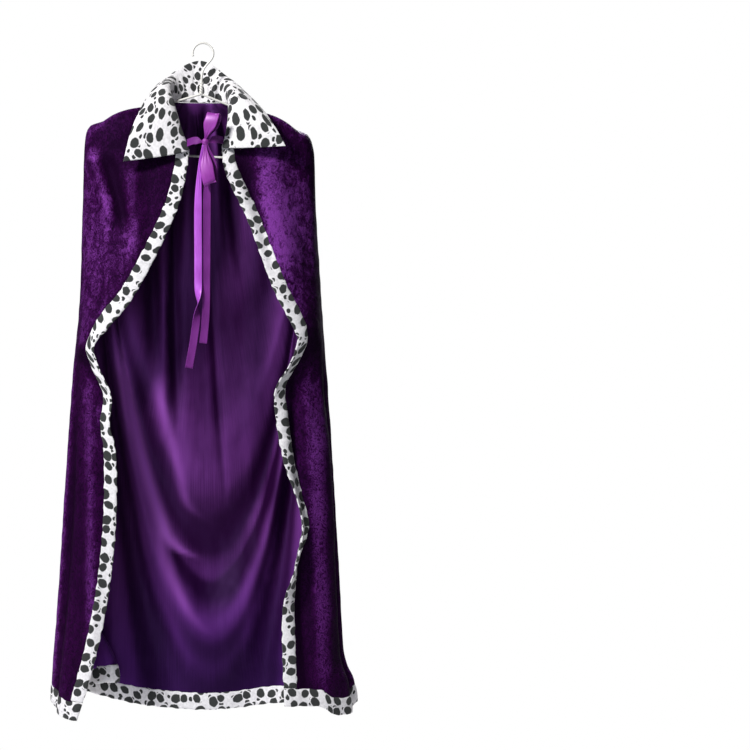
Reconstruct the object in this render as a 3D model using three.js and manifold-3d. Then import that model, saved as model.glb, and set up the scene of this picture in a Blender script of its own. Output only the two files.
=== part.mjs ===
// A king cape of crushed velvet with a spotted plush collar and trims, tied with a satin ribbon
// bow, hanging on a plain wire hanger. Sizes are in millimetres, +Z is up and the front faces -Y.
// The origin is the point of the hook that rests on a rail. "Left" and "right" are as seen from
// the front. A "drop" is a distance straight down from the origin.

import * as THREE from "three";
import { mergeVertices } from "three/addons/utils/BufferGeometryUtils.js";
import Module from "manifold-3d";

// Thickness of each cloth, the gap kept at seams, and the widths of the folded trims
const VELVET = 1.6;
const PLUSH_TRIM = 4.0;
const PLUSH_COLLAR = 4.0;
const SATIN = 1.0;
const SEAM_GAP = 0.4;
const FRONT_TRIM = 25;
const HEM_TRIM = 32;

// The wire hanger, drawn level and then turned by its tilt about the origin
const WIRE_RADIUS = 2;
const HOOK_INNER_RADIUS = 17;
const APEX_DROP = 92;
const ARM_END_X = 190;
const END_BEND = 14;
const ARM_SLOPE = THREE.MathUtils.degToRad(19.4);
const BAR_DROP = 207;
const HANGER_TILT = THREE.MathUtils.degToRad(2.6);
const TWIST_RADIUS = 3.4;
const TWIST_LENGTH = 24;
const WIRE_SIDES = 8;

// The cloth's own x is measured from the middle of the shoulders, which hangs this far to the
// right of the hook
const MIDDLE_X = -8;

// The neck seam: an oval that is lowest and most open in front
const NECK_HALF_WIDTH = 54;
const NECK_BACK_DEPTH = 36;
const NECK_FRONT_DEPTH = 56;
const NECK_BACK_DROP = 106;
const NECK_FRONT_DROP = { left: 200, right: 195 };
const NECK_FRONT_ANGLE = THREE.MathUtils.degToRad(147);
const NECK_OPENING_SHIFT = 12;

// How deep the yoke reaches at the back and at the front edges, and how far forward the sides are
const BACK_YOKE_DROP = 205;
const RIDGE_ROUNDING = 45;
const FRONT_YOKE_DROP = 250;
const SIDE_DEPTH = 0;

// How far out each side of the hanging cape reaches, at a drop
const LEFT_SIDE = [
  { drop: 149.6, out: 198 },
  { drop: 158, out: 204.5 },
  { drop: 170, out: 208 },
  { drop: 200, out: 210.5 },
  { drop: 287, out: 213 },
  { drop: 480, out: 219 },
  { drop: 600, out: 229 },
  { drop: 710, out: 236 },
  { drop: 960, out: 251 },
  { drop: 1150, out: 265 },
  { drop: 1250, out: 270 },
];
const RIGHT_SIDE = [
  { drop: 166, out: 198 },
  { drop: 175, out: 204.5 },
  { drop: 188, out: 208.5 },
  { drop: 206, out: 211.5 },
  { drop: 300, out: 214 },
  { drop: 480, out: 224 },
  { drop: 710, out: 240 },
  { drop: 960, out: 256 },
  { drop: 1110, out: 264 },
  { drop: 1140, out: 270 },
  { drop: 1170, out: 283 },
  { drop: 1250, out: 294 },
];

// Each front edge as it swings: its place at a drop, and how far the cloth there is turned, in
// degrees. 0 faces the front, and a minus turn flares the edge towards the viewer.
const LEFT_EDGE = [
  { drop: 200, x: -16, y: -50, turn: 0 },
  { drop: 294, x: -35, y: -57, turn: 0 },
  { drop: 385, x: -75, y: -62, turn: 0 },
  { drop: 477, x: -126, y: -64, turn: 0 },
  { drop: 530, x: -171, y: -62, turn: 0 },
  { drop: 557, x: -191, y: -60, turn: -20 },
  { drop: 592, x: -184, y: -62, turn: -64 },
  { drop: 648, x: -160, y: -70, turn: -70 },
  { drop: 700, x: -163, y: -68, turn: -62 },
  { drop: 745, x: -152, y: -62, turn: -20 },
  { drop: 850, x: -150, y: -60, turn: 0 },
  { drop: 960, x: -158, y: -61, turn: 0 },
  { drop: 1067, x: -175, y: -63, turn: 0 },
  { drop: 1172, x: -201, y: -65, turn: 0 },
  { drop: 1250, x: -226, y: -66, turn: 0 },
];
const RIGHT_EDGE = [
  { drop: 195, x: 38, y: -50, turn: 0 },
  { drop: 245, x: 50, y: -54, turn: 0 },
  { drop: 326, x: 88, y: -59, turn: 0 },
  { drop: 457, x: 137, y: -64, turn: 0 },
  { drop: 518, x: 169, y: -64, turn: 0 },
  { drop: 545, x: 179, y: -62, turn: -20 },
  { drop: 590, x: 165, y: -66, turn: -66 },
  { drop: 635, x: 139, y: -68, turn: -50 },
  { drop: 690, x: 140, y: -63, turn: 0 },
  { drop: 775, x: 156, y: -62, turn: -5 },
  { drop: 835, x: 178, y: -64, turn: -50 },
  { drop: 890, x: 189, y: -68, turn: -70 },
  { drop: 965, x: 174, y: -70, turn: -70 },
  { drop: 1020, x: 155, y: -66, turn: -35 },
  { drop: 1075, x: 151, y: -64, turn: 0 },
  { drop: 1250, x: 157, y: -66, turn: 0 },
];

// How far the middle of the back stands behind the hanger, at a drop
const BACK_DEPTH = [
  { drop: 106, y: 36 },
  { drop: 180, y: 42 },
  { drop: 400, y: 50 },
  { drop: 800, y: 56 },
  { drop: 1250, y: 58 },
];

// The hem's drop at places round the cape, numbered as the variable "round" below
const HEM = [
  { round: -2, drop: 1240 },
  { round: -1.5, drop: 1232 },
  { round: -1.05, drop: 1210 },
  { round: -0.89, drop: 1174 },
  { round: -0.65, drop: 1195 },
  { round: -0.45, drop: 1210 },
  { round: -0.24, drop: 1224 },
  { round: 0, drop: 1231 },
  { round: 0.17, drop: 1228 },
  { round: 0.4, drop: 1217 },
  { round: 1, drop: 1210 },
  { round: 1.2, drop: 1228 },
  { round: 1.48, drop: 1229 },
  { round: 1.6, drop: 1215 },
  { round: 2, drop: 1213 },
];

// The back's swags are nested U folds that hang between the shoulder ends. Each row gives the
// drop of a fold's lowest point (past the hem for one that never closes), how wide it is as a
// share of that drop, and how far it stands out behind.
const SWAGS = [
  { bottom: 560, share: 0.13, out: 5 },
  { bottom: 745, share: 0.08, out: -6 },
  { bottom: 925, share: 0.085, out: 17 },
  { bottom: 1098, share: 0.07, out: -15 },
  { bottom: 1300, share: 0.11, out: 13 },
  { bottom: 1800, share: 0.17, out: -11 },
  { bottom: 2700, share: 0.2, out: 12 },
  { bottom: 4700, share: 0.25, out: -9 },
];
const SWAG_CENTRE_X = 8;
const SWAG_CURVE = 1.77;

// Long folds of the back, each a line from one (x, drop) to another, with its half width and how
// far it stands out behind
const BACK_FOLDS = [
  { x0: 8, drop0: 250, x1: 47, drop1: 830, half: 8, out: 5 },
  { x0: 10, drop0: 112, x1: 4, drop1: 330, half: 9, out: 6 },
  { x0: -50, drop0: 118, x1: -41, drop1: 760, half: 12, out: 8 },
  { x0: -66, drop0: 124, x1: -63, drop1: 700, half: 10, out: -9 },
  { x0: -84, drop0: 132, x1: -86, drop1: 560, half: 11, out: 7 },
  { x0: -22, drop0: 112, x1: -18, drop1: 420, half: 10, out: -5 },
  { x0: 30, drop0: 116, x1: 34, drop1: 300, half: 9, out: -6 },
  { x0: 46, drop0: 118, x1: 76, drop1: 420, half: 12, out: 8 },
  { x0: 96, drop0: 160, x1: 146, drop1: 420, half: 14, out: 7 },
  { x0: -128, drop0: 168, x1: -170, drop1: 330, half: 12, out: 7 },
];

// Folds of the two front panels, standing out towards the viewer
const LEFT_FRONT_FOLDS = [
  { x0: -192, drop0: 205, x1: -160, drop1: 330, half: 12, out: 8 },
  { x0: -168, drop0: 215, x1: -132, drop1: 350, half: 12, out: -7 },
  { x0: -120, drop0: 240, x1: -112, drop1: 420, half: 14, out: 6 },
  { x0: -196, drop0: 620, x1: -190, drop1: 1140, half: 14, out: 8 },
];
const RIGHT_FRONT_FOLDS = [
  { x0: 84, drop0: 225, x1: 132, drop1: 430, half: 13, out: -8 },
  { x0: 130, drop0: 210, x1: 168, drop1: 440, half: 24, out: 8 },
  { x0: 176, drop0: 640, x1: 196, drop1: 1180, half: 15, out: -12 },
  { x0: 222, drop0: 700, x1: 238, drop1: 1230, half: 20, out: 8 },
];

// Upright folds round each side, by their place in "round": half width, depth at the hem, and
// the drop where each begins
const SIDE_FOLDS = [
  { round: -1.22, half: 0.09, out: -7, begins: 420 },
  { round: -1.02, half: 0.07, out: 4, begins: 380 },
  { round: -0.9, half: 0.05, out: -9, begins: 300 },
  { round: -0.76, half: 0.05, out: 9, begins: 300 },
  { round: 0.76, half: 0.05, out: 9, begins: 260 },
  { round: 0.86, half: 0.045, out: -12, begins: 260 },
  { round: 0.96, half: 0.05, out: 4, begins: 320 },
  { round: 1.12, half: 0.07, out: -8, begins: 420 },
];

// The hem has one deep pleat, which folds in from the left behind the left front
const PLEAT = { round: -0.886, half: 0.056, inward: 95, forward: 10, begins: 940, full: 1180 };

// The collar, from its left front corner round the back to the right one. "roll" is the point
// that each strip of it rises towards before it turns over, and "edge" its outer edge.
const COLLAR = [
  { round: -2, rollX: -26, rollY: -66, rollDrop: 180, edgeX: -137, edgeY: -70, edgeDrop: 214 },
  { round: -1.5, rollX: -34, rollY: -46, rollDrop: 96, edgeX: -124, edgeY: -62, edgeDrop: 164 },
  { round: -1, rollX: -42, rollY: -6, rollDrop: 52, edgeX: -99, edgeY: -28, edgeDrop: 106 },
  { round: -0.5, rollX: -35, rollY: 34, rollDrop: 50, edgeX: -62, edgeY: 26, edgeDrop: 60 },
  { round: 0, rollX: 0, rollY: 44, rollDrop: 62, edgeX: 2, edgeY: 54, edgeDrop: 26 },
  { round: 0.5, rollX: 34, rollY: 34, rollDrop: 54, edgeX: 58, edgeY: 26, edgeDrop: 62 },
  { round: 1, rollX: 46, rollY: -6, rollDrop: 62, edgeX: 104, edgeY: -28, edgeDrop: 108 },
  { round: 1.5, rollX: 54, rollY: -46, rollDrop: 96, edgeX: 136, edgeY: -62, edgeDrop: 152 },
  { round: 2, rollX: 56, rollY: -66, rollDrop: 172, edgeX: 156, edgeY: -70, edgeDrop: 184 },
];

// The ribbon: its width, its knot, and the line that the middle of each stretch follows
const RIBBON_WIDTH = 14;
const RIBBON_PINCH = 5;
const KNOT = { x: 11.5, y: -72, drop: 184.5, halfX: 7, halfY: 5, halfZ: 6 };

// How many columns and rows of faces each panel gets
const FRONT_COLUMNS = 9;
const BACK_COLUMNS = 44;
const YOKE_ROWS = 4;
const SKIRT_ROWS = 25;
const TRIM_COLUMNS = 3;
const COLLAR_COLUMNS = 36;
const COLLAR_ROWS = 8;
const RIBBON_STEPS = 18;

const point = (x, y, z) => new THREE.Vector3(x, y, z);

// A smooth step from 0 at a to 1 at b.
function ease(a, b, x) {
  return THREE.MathUtils.smoothstep(x, a, b);
}

// A bell of height 1 at 0 that has fallen to about a third at 1.
function bell(x) {
  return Math.exp(-x * x);
}

// A table's columns at one value of its first column, on a smooth curve through its rows.
function rowAt(table, key, at) {
  const last = table.length - 1;
  const clamped = THREE.MathUtils.clamp(at, table[0][key], table[last][key]);
  let i = 0;
  while (i < last - 1 && table[i + 1][key] < clamped) i++;
  const before = table[Math.max(0, i - 1)];
  const after = table[Math.min(last, i + 2)];
  const from = table[i];
  const to = table[i + 1];
  const span = to[key] - from[key];
  const f = (clamped - from[key]) / span;
  const row = {};
  for (const name of Object.keys(from)) {
    const slope0 = i > 0 ? ((to[name] - before[name]) / (to[key] - before[key])) * span : to[name] - from[name];
    const slope1 =
      i < last - 1 ? ((after[name] - from[name]) / (after[key] - from[key])) * span : to[name] - from[name];
    row[name] = hermite(from[name], slope0, to[name], slope1, f);
  }
  return row;
}

// The cubic from a to b that leaves with slope m and arrives with slope n.
function hermite(a, m, b, n, f) {
  const g = f * f;
  const h = g * f;
  return (2 * h - 3 * g + 1) * a + (h - 2 * g + f) * m + (3 * g - 2 * h) * b + (h - g) * n;
}

// Turns a point of the level hanger by its tilt about the origin.
function tilted(x, z) {
  return point(x, 0, z).applyAxisAngle(point(0, 1, 0), HANGER_TILT);
}

// The drop of velvet lying on a hanger arm, at the cloth's x.
function ridgeDrop(clothX) {
  const x = clothX + MIDDLE_X;
  const apex = tilted(0, -APEX_DROP);
  const end = tilted(Math.sign(x) * ARM_END_X, -APEX_DROP - ARM_END_X * Math.tan(ARM_SLOPE));
  const slope = (end.z - apex.z) / (end.x - apex.x);
  const lift = (WIRE_RADIUS + 1.8 * SEAM_GAP + VELVET / 2) * Math.hypot(1, slope);
  return -(apex.z + (x - apex.x) * slope + lift);
}

// The cape's surface has two coordinates. "round" runs from -2 at the left front edge to -1 at
// the left side, 1 at the right side and 2 at the right front edge, so 0 is the centre back.
// "down" runs from 0 at the neck seam to 1 at the bottom of the yoke and 2 at the hem.

// The neck seam's point.
function neckPoint(round) {
  const reach = Math.abs(round);
  const side = Math.sign(round);
  const front = Math.max(0, reach - 1);
  const angle = Math.min(reach, 1) * (Math.PI / 2) + front * (NECK_FRONT_ANGLE - Math.PI / 2);
  const x = side * NECK_HALF_WIDTH * Math.sin(angle) + NECK_OPENING_SHIFT * ease(0, 1, front);
  const depth = angle < Math.PI / 2 ? NECK_BACK_DEPTH : NECK_FRONT_DEPTH;
  const y = depth * Math.cos(angle) + SIDE_DEPTH * Math.sin(angle) ** 2;
  const frontDrop = side < 0 ? NECK_FRONT_DROP.left : NECK_FRONT_DROP.right;
  const sideDrop = ridgeDrop(side * NECK_HALF_WIDTH || NECK_HALF_WIDTH);
  const drop =
    reach < 1
      ? THREE.MathUtils.lerp(NECK_BACK_DROP, sideDrop, Math.sin(angle) ** 2)
      : THREE.MathUtils.lerp(sideDrop, frontDrop, front ** 1.4);
  return point(x, y, -drop);
}

// The side's distance from the middle, at a drop.
function sideReach(side, drop) {
  return rowAt(side < 0 ? LEFT_SIDE : RIGHT_SIDE, "drop", drop).out;
}

// A long fold's height at (x, drop).
function foldHeight(folds, x, drop) {
  let sum = 0;
  for (const f of folds) {
    const along = (drop - f.drop0) / (f.drop1 - f.drop0);
    const centre = THREE.MathUtils.lerp(f.x0, f.x1, THREE.MathUtils.clamp(along, -0.2, 1.2));
    const fade = ease(-0.12, 0.12, along) * (1 - ease(0.7, 1.15, along));
    sum += f.out * fade * bell((x - centre) / f.half);
  }
  return sum;
}

// The height of the back's swags at (x, drop).
function swagHeight(x, drop, half, cornerDrop) {
  const across = Math.min(0.985, Math.abs(x - SWAG_CENTRE_X) / half);
  const rise = across ** SWAG_CURVE;
  const bottom = (drop - cornerDrop * rise) / (1 - rise);
  if (bottom < 50) return 0;
  let sum = 0;
  for (const s of SWAGS) sum += s.out * bell(Math.log(bottom / s.bottom) / s.share);
  return sum * Math.sqrt(1 - rise) * ease(cornerDrop, cornerDrop + 260, drop);
}

// The height of the upright folds round the sides.
function sideFoldHeight(round, drop) {
  let sum = 0;
  for (const f of SIDE_FOLDS) {
    sum += f.out * bell((round - f.round) / f.half) * ease(f.begins, f.begins + 520, drop);
  }
  return sum;
}

// The cape's section at a drop, before its folds.
function sectionBase(round, drop) {
  const side = Math.sign(round) || 1;
  const reach = Math.abs(round);
  const half = sideReach(side, drop);
  if (reach <= 1) {
    const even = 0.4 * reach + 0.6 * Math.sin((reach * Math.PI) / 2);
    const fan = THREE.MathUtils.lerp(1.8, 1, ease(170, 800, drop));
    const across = even ** fan;
    const middle = rowAt(BACK_DEPTH, "drop", drop).y;
    const y = SIDE_DEPTH + (middle - SIDE_DEPTH) * (1 - across ** 3) ** 0.6;
    const pleat = bell((round - PLEAT.round) / PLEAT.half) * ease(PLEAT.begins, PLEAT.full, drop);
    return { x: side * half * across + PLEAT.inward * pleat, y: y - PLEAT.forward * pleat };
  }
  const f = reach - 1;
  const edge = rowAt(side < 0 ? LEFT_EDGE : RIGHT_EDGE, "drop", drop);
  const turn = THREE.MathUtils.degToRad(edge.turn);
  const start = side * half;
  const leave = 1.7 * (edge.y - SIDE_DEPTH);
  const arrive = 0.9 * Math.abs(edge.x - start) + 25;
  return {
    x: hermite(start, 0, edge.x, -side * Math.cos(turn) * arrive, f),
    y: hermite(SIDE_DEPTH, leave, edge.y, Math.sin(turn) * arrive, f),
  };
}

// The cape's section at a drop, with its folds.
function sectionPoint(round, drop) {
  const here = sectionBase(round, drop);
  const step = 0.01;
  const a = sectionBase(Math.max(-2, round - step), drop);
  const b = sectionBase(Math.min(2, round + step), drop);
  const length = Math.hypot(b.x - a.x, b.y - a.y) || 1;
  const outX = -(b.y - a.y) / length;
  const outY = (b.x - a.x) / length;
  let height = sideFoldHeight(round, drop);
  if (Math.abs(round) < 1) {
    const corner = round < 0 ? LEFT_SIDE[0].drop : RIGHT_SIDE[0].drop;
    height += swagHeight(here.x, drop, sideReach(Math.sign(round) || 1, drop), corner);
    height += foldHeight(BACK_FOLDS, here.x, drop) * (1 - ease(0.85, 1, Math.abs(round)));
  } else {
    const folds = round < 0 ? LEFT_FRONT_FOLDS : RIGHT_FRONT_FOLDS;
    const f = Math.abs(round) - 1;
    height += foldHeight(folds, here.x, drop) * ease(0, 0.2, f) * (1 - ease(0.8, 1, f));
  }
  return point(here.x + outX * height, here.y + outY * height, -drop);
}

// The drops of the bottom of the yoke and of the hem.
function yokeDrop(round) {
  const corner = round < 0 ? LEFT_SIDE[0].drop : RIGHT_SIDE[0].drop;
  const reach = Math.abs(round);
  if (reach <= 1) {
    const middle = rowAt(BACK_DEPTH, "drop", BACK_YOKE_DROP).y;
    const y = sectionBase(round, corner + 20).y;
    const fall = (depth) => Math.hypot(depth, RIDGE_ROUNDING) - RIDGE_ROUNDING;
    return THREE.MathUtils.lerp(corner, BACK_YOKE_DROP, Math.min(1, fall(y) / fall(middle)));
  }
  return THREE.MathUtils.lerp(corner, FRONT_YOKE_DROP, ease(0, 1, reach - 1));
}

function hemDrop(round) {
  return rowAt(HEM, "round", round).drop;
}

// A point of the cape's surface.
function capePoint(round, down) {
  if (down >= 1) {
    return sectionPoint(round, THREE.MathUtils.lerp(yokeDrop(round), hemDrop(round), down - 1));
  }
  const lowDrop = yokeDrop(round);
  const low = sectionPoint(round, lowDrop);
  const high = neckPoint(round);
  const hanging = sectionPoint(round, lowDrop + 8).sub(low).normalize();
  const straight = high.clone().lerp(low, 0.5);
  const bulging = low.clone().addScaledVector(hanging, -0.45 * high.distanceTo(low));
  const control = straight.lerp(bulging, ease(0, 0.35, Math.abs(1 - Math.abs(round))));
  const here = new THREE.QuadraticBezierCurve3(high, control, low).getPoint(down);
  if (Math.abs(round) < 1) {
    const folds = foldHeight(BACK_FOLDS, here.x, -here.z) * (1 - ease(0.6, 0.95, Math.abs(round)));
    here.y += folds * (1 - down) * ease(0, 0.3, down);
  }
  return here;
}

// The outward normal of a surface given as a function of two coordinates.
function normalOf(surface, u, v, lowU, highU, lowV, highV) {
  const step = 0.004;
  const alongU = surface(Math.min(highU, u + step), v).sub(surface(Math.max(lowU, u - step), v));
  const alongV = surface(u, Math.min(highV, v + step)).sub(surface(u, Math.max(lowV, v - step)));
  return alongV.cross(alongU).normalize();
}

function capeNormal(round, down) {
  return normalOf(capePoint, round, down, -2, 2, 0, 2);
}

// Where in "round" a strip along the front edge begins, its width measured square to the edge.
function stripStart(side, down, squareWidth) {
  const step = 0.01;
  const along = capePoint(side * 2, Math.min(2, down + step)).sub(capePoint(side * 2, Math.max(0, down - step)));
  const across = capePoint(side * 2, down).sub(capePoint(side * (2 - step), down));
  const width = squareWidth / Math.max(0.5, Math.sin(along.angleTo(across)));
  let round = 2;
  let length = 0;
  let before = capePoint(side * round, down);
  while (round > 1) {
    const here = capePoint(side * (round - step), down);
    const more = here.distanceTo(before);
    if (length + more >= width) return round - (step * (width - length)) / more;
    length += more;
    round -= step;
    before = here;
  }
  return 1;
}

// "down" where the hem trim begins.
function hemTrimTop(round, width) {
  return 2 - width / (hemDrop(round) - yokeDrop(round));
}

// Turns a grid of middle points and their normals into one closed wall. Where the surface's own
// centre of each cell is given, the cell is split along the diagonal that passes nearer to it.
function wall(columns, rows, middle, normal, thickness, centre = null) {
  const positions = [];
  const index = [];
  const count = (columns + 1) * (rows + 1);
  for (const face of [0.5, -0.5]) {
    for (let j = 0; j <= rows; j++) {
      for (let i = 0; i <= columns; i++) {
        const p = middle(i, j).clone().addScaledVector(normal(i, j), face * thickness(i, j));
        positions.push(p.x, p.y, p.z);
      }
    }
  }
  const at = (i, j) => j * (columns + 1) + i;
  const quad = (a, b, c, d) => index.push(a, b, c, a, c, d);
  const missesBy = (a, b, target) => a.clone().lerp(b, 0.5).distanceTo(target);
  for (let j = 0; j < rows; j++) {
    for (let i = 0; i < columns; i++) {
      const cell = [at(i, j), at(i, j + 1), at(i + 1, j + 1), at(i + 1, j)];
      if (centre) {
        const target = centre(i, j);
        const one = missesBy(middle(i, j), middle(i + 1, j + 1), target);
        const other = missesBy(middle(i, j + 1), middle(i + 1, j), target);
        if (other < one) cell.push(cell.shift());
      }
      const [a, b, c, d] = cell;
      quad(a, b, c, d);
      index.push(count + a, count + c, count + b, count + a, count + d, count + c);
    }
  }
  const rimOneWay = (a, b) => index.push(a, b, count + b, a, count + b, count + a);
  const rimOtherWay = (a, b) => index.push(a, count + b, b, a, count + a, count + b);
  for (let i = 0; i < columns; i++) {
    rimOneWay(at(i, 0), at(i + 1, 0));
    rimOtherWay(at(i, rows), at(i + 1, rows));
  }
  for (let j = 0; j < rows; j++) {
    rimOneWay(at(columns, j), at(columns, j + 1));
    rimOtherWay(at(0, j), at(0, j + 1));
  }
  const geometry = new THREE.BufferGeometry();
  geometry.setAttribute("position", new THREE.Float32BufferAttribute(positions, 3));
  geometry.setIndex(index);
  return facingOut(geometry);
}

// Turns a closed mesh's faces round if they point inwards.
function facingOut(geometry) {
  const p = geometry.getAttribute("position");
  const index = geometry.getIndex().array;
  const corner = (k) => point().fromBufferAttribute(p, index[k]);
  let volume = 0;
  for (let k = 0; k < index.length; k += 3) {
    volume += corner(k).dot(corner(k + 1).cross(corner(k + 2)));
  }
  if (volume < 0) {
    for (let k = 0; k < index.length; k += 3) {
      [index[k + 1], index[k + 2]] = [index[k + 2], index[k + 1]];
    }
  }
  return geometry;
}

// A wall over a patch of the cape's surface, where place(i, j) gives (round, down).
function capeWall(columns, rows, place, thickness) {
  const places = new Map();
  const lookUp = (i, j) => {
    const key = i + "," + j;
    if (!places.has(key)) {
      const [round, down] = place(i, j);
      places.set(key, { middle: capePoint(round, down), normal: capeNormal(round, down) });
    }
    return places.get(key);
  };
  return wall(
    columns,
    rows,
    (i, j) => lookUp(i, j).middle,
    (i, j) => lookUp(i, j).normal,
    thickness,
    (i, j) => capePoint(...place(i + 0.5, j + 0.5)),
  );
}

// "down" of each row of the velvet, from the neck seam to the hem trim.
function rowDown(j, round) {
  if (j <= YOKE_ROWS) return j / YOKE_ROWS;
  const bottom = hemTrimTop(round, HEM_TRIM + 3.5 * SEAM_GAP);
  return THREE.MathUtils.lerp(1, bottom, (j - YOKE_ROWS) / SKIRT_ROWS);
}

// "round" of each column between two seams: closer together round the sides, where it turns.
function columnRound(i, leftSeam, rightSeam) {
  if (i <= FRONT_COLUMNS) {
    return THREE.MathUtils.lerp(-1, leftSeam, (1 - i / FRONT_COLUMNS) ** 1.25);
  }
  if (i >= FRONT_COLUMNS + BACK_COLUMNS) {
    return THREE.MathUtils.lerp(1, rightSeam, ((i - FRONT_COLUMNS - BACK_COLUMNS) / FRONT_COLUMNS) ** 1.25);
  }
  return -1 + (2 * (i - FRONT_COLUMNS)) / BACK_COLUMNS;
}

const BODY_COLUMNS = 2 * FRONT_COLUMNS + BACK_COLUMNS;
const BODY_ROWS = YOKE_ROWS + SKIRT_ROWS;

function velvetBody() {
  const place = (i, j) => {
    const rough = columnRound(i, -2, 2);
    const down = rowDown(j, rough);
    const width = FRONT_TRIM + SEAM_GAP;
    const round = columnRound(i, -stripStart(-1, down, width), stripStart(1, down, width));
    return [round, rowDown(j, round)];
  };
  return capeWall(BODY_COLUMNS, BODY_ROWS, place, () => VELVET);
}

// Trim is fullest along its middle and thinner at its seam and its fold.
function trimThickness(across) {
  return PLUSH_TRIM * (0.62 + 0.38 * Math.sin(Math.PI * across));
}

function frontTrim(side) {
  const place = (i, j) => {
    const down = rowDown(j, side * 2);
    const seam = stripStart(side, down, FRONT_TRIM);
    const round = THREE.MathUtils.lerp(seam, 2, i / TRIM_COLUMNS);
    return [side * round, rowDown(j, side * round)];
  };
  return capeWall(TRIM_COLUMNS, BODY_ROWS, place, (i) => trimThickness(i / TRIM_COLUMNS));
}

function hemTrim() {
  const left = -stripStart(-1, rowDown(BODY_ROWS, -2), FRONT_TRIM + SEAM_GAP);
  const right = stripStart(1, rowDown(BODY_ROWS, 2), FRONT_TRIM + SEAM_GAP);
  const roundOf = (i) => {
    if (i < TRIM_COLUMNS) return THREE.MathUtils.lerp(-2, left, i / TRIM_COLUMNS);
    const past = i - TRIM_COLUMNS - BODY_COLUMNS;
    if (past > 0) return THREE.MathUtils.lerp(right, 2, past / TRIM_COLUMNS);
    return columnRound(i - TRIM_COLUMNS, left, right);
  };
  const place = (i, j) => {
    const round = roundOf(i);
    return [round, THREE.MathUtils.lerp(hemTrimTop(round, HEM_TRIM), 2, j / TRIM_COLUMNS)];
  };
  const columns = BODY_COLUMNS + 2 * TRIM_COLUMNS;
  return capeWall(columns, TRIM_COLUMNS, place, (i, j) => trimThickness(j / TRIM_COLUMNS));
}

// A point of the collar, from its seam (0) to its outer edge (1).
function collarPoint(round, out) {
  const row = rowAt(COLLAR, "round", round);
  const seam = neckPoint(round);
  const front = Math.max(0, Math.abs(round) - 1);
  seam.z += SEAM_GAP + 1.3 * Math.min(1, Math.abs(round));
  seam.y -= 2.6 * Math.min(1, 3 * front);
  const roll = point(row.rollX, row.rollY, -row.rollDrop);
  const edge = point(row.edgeX, row.edgeY, -row.edgeDrop);
  return new THREE.QuadraticBezierCurve3(seam, roll, edge).getPoint(out);
}

function collar() {
  const place = (i, j) => [-2 + (4 * i) / COLLAR_COLUMNS, j / COLLAR_ROWS];
  return wall(
    COLLAR_COLUMNS,
    COLLAR_ROWS,
    (i, j) => collarPoint(...place(i, j)),
    (i, j) => normalOf(collarPoint, ...place(i, j), -2, 2, 0, 1),
    (i, j) => PLUSH_COLLAR * (0.6 + 0.4 * Math.sin((Math.PI * (j + 0.6)) / (COLLAR_ROWS + 1.2))),
  );
}

// A stretch of ribbon along a line. "across" is the way its width runs, and its ends may be
// gathered to a narrower width.
function ribbon(line, across, startWidth, endWidth, steps = RIBBON_STEPS) {
  const curve = new THREE.CatmullRomCurve3(line, false, "centripetal");
  const points = curve.getSpacedPoints(steps);
  const widthAt = (f) => {
    const start = THREE.MathUtils.lerp(startWidth, RIBBON_WIDTH, ease(0, 0.3, f));
    const end = THREE.MathUtils.lerp(endWidth, RIBBON_WIDTH, ease(0, 0.3, 1 - f));
    return Math.min(start, end);
  };
  const frames = points.map((p, k) => {
    const f = k / steps;
    const tangent = curve.getTangentAt(f);
    const side = across(f).clone();
    side.addScaledVector(tangent, -side.dot(tangent)).normalize();
    return { p, side, normal: tangent.clone().cross(side).normalize(), width: widthAt(f) };
  });
  return wall(
    2,
    steps,
    (i, j) => frames[j].p.clone().addScaledVector(frames[j].side, (i / 2 - 0.5) * frames[j].width),
    (i, j) => frames[j].normal,
    () => SATIN,
  );
}

const KNOT_POINT = point(KNOT.x, KNOT.y, -KNOT.drop);

// A point given by its distance from the middle of the knot.
const fromKnot = (x, y, z) => KNOT_POINT.clone().add(point(x, y, z));

function bowKnot() {
  const knot = new THREE.SphereGeometry(1, 10, 7);
  knot.scale(KNOT.halfX, KNOT.halfY, KNOT.halfZ);
  knot.translate(KNOT_POINT.x, KNOT_POINT.y, KNOT_POINT.z);
  return knot;
}

// The stretch of each tie from the collar's end to the knot.
function tie(side) {
  const root = collarPoint(side * 2, 0.12).add(point(-side * 3, 0, 0));
  const end = fromKnot(side * (KNOT.halfX + SEAM_GAP), 0, 0);
  const middle = root.clone().lerp(end, 0.5).add(point(0, -3, 3));
  return ribbon([root, middle, end], () => point(0, 0.25, 1), RIBBON_WIDTH, RIBBON_PINCH, 8);
}

function upperLoop() {
  const line = [
    fromKnot(-1, -2.5, KNOT.halfZ - 0.1),
    fromKnot(0, -9, 22),
    fromKnot(4, -11, 42),
    fromKnot(9, -6, 51),
    fromKnot(15, 1, 45),
    fromKnot(11, 4, 24),
    fromKnot(3, 2, KNOT.halfZ - 0.1),
  ];
  return ribbon(line, () => point(0.88, -0.45, 0.1), RIBBON_PINCH, RIBBON_PINCH);
}

function lowerLoop() {
  const line = [
    fromKnot(-1.5, -2.5, -KNOT.halfZ + 0.1),
    fromKnot(-7, -10, -34),
    fromKnot(-6, -13, -60),
    fromKnot(5, -12, -74),
    fromKnot(17, -8, -62),
    fromKnot(12, -4, -34),
    fromKnot(3, -2, -KNOT.halfZ + 0.1),
  ];
  return ribbon(line, () => point(0.85, -0.52, 0.05), RIBBON_PINCH, RIBBON_PINCH);
}

function leftTail() {
  const line = [
    fromKnot(-3, 2, -KNOT.halfZ + 0.1),
    fromKnot(-9, 3, -40),
    fromKnot(-13, 3, -110),
    fromKnot(-13, 4, -220),
    fromKnot(-14, 4, -300),
    fromKnot(-21, 3, -360),
    fromKnot(-30, 3, -412),
  ];
  return ribbon(line, (f) => point(Math.cos(twist(f)), Math.sin(twist(f)), 0), RIBBON_PINCH, RIBBON_WIDTH);
}

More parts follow.
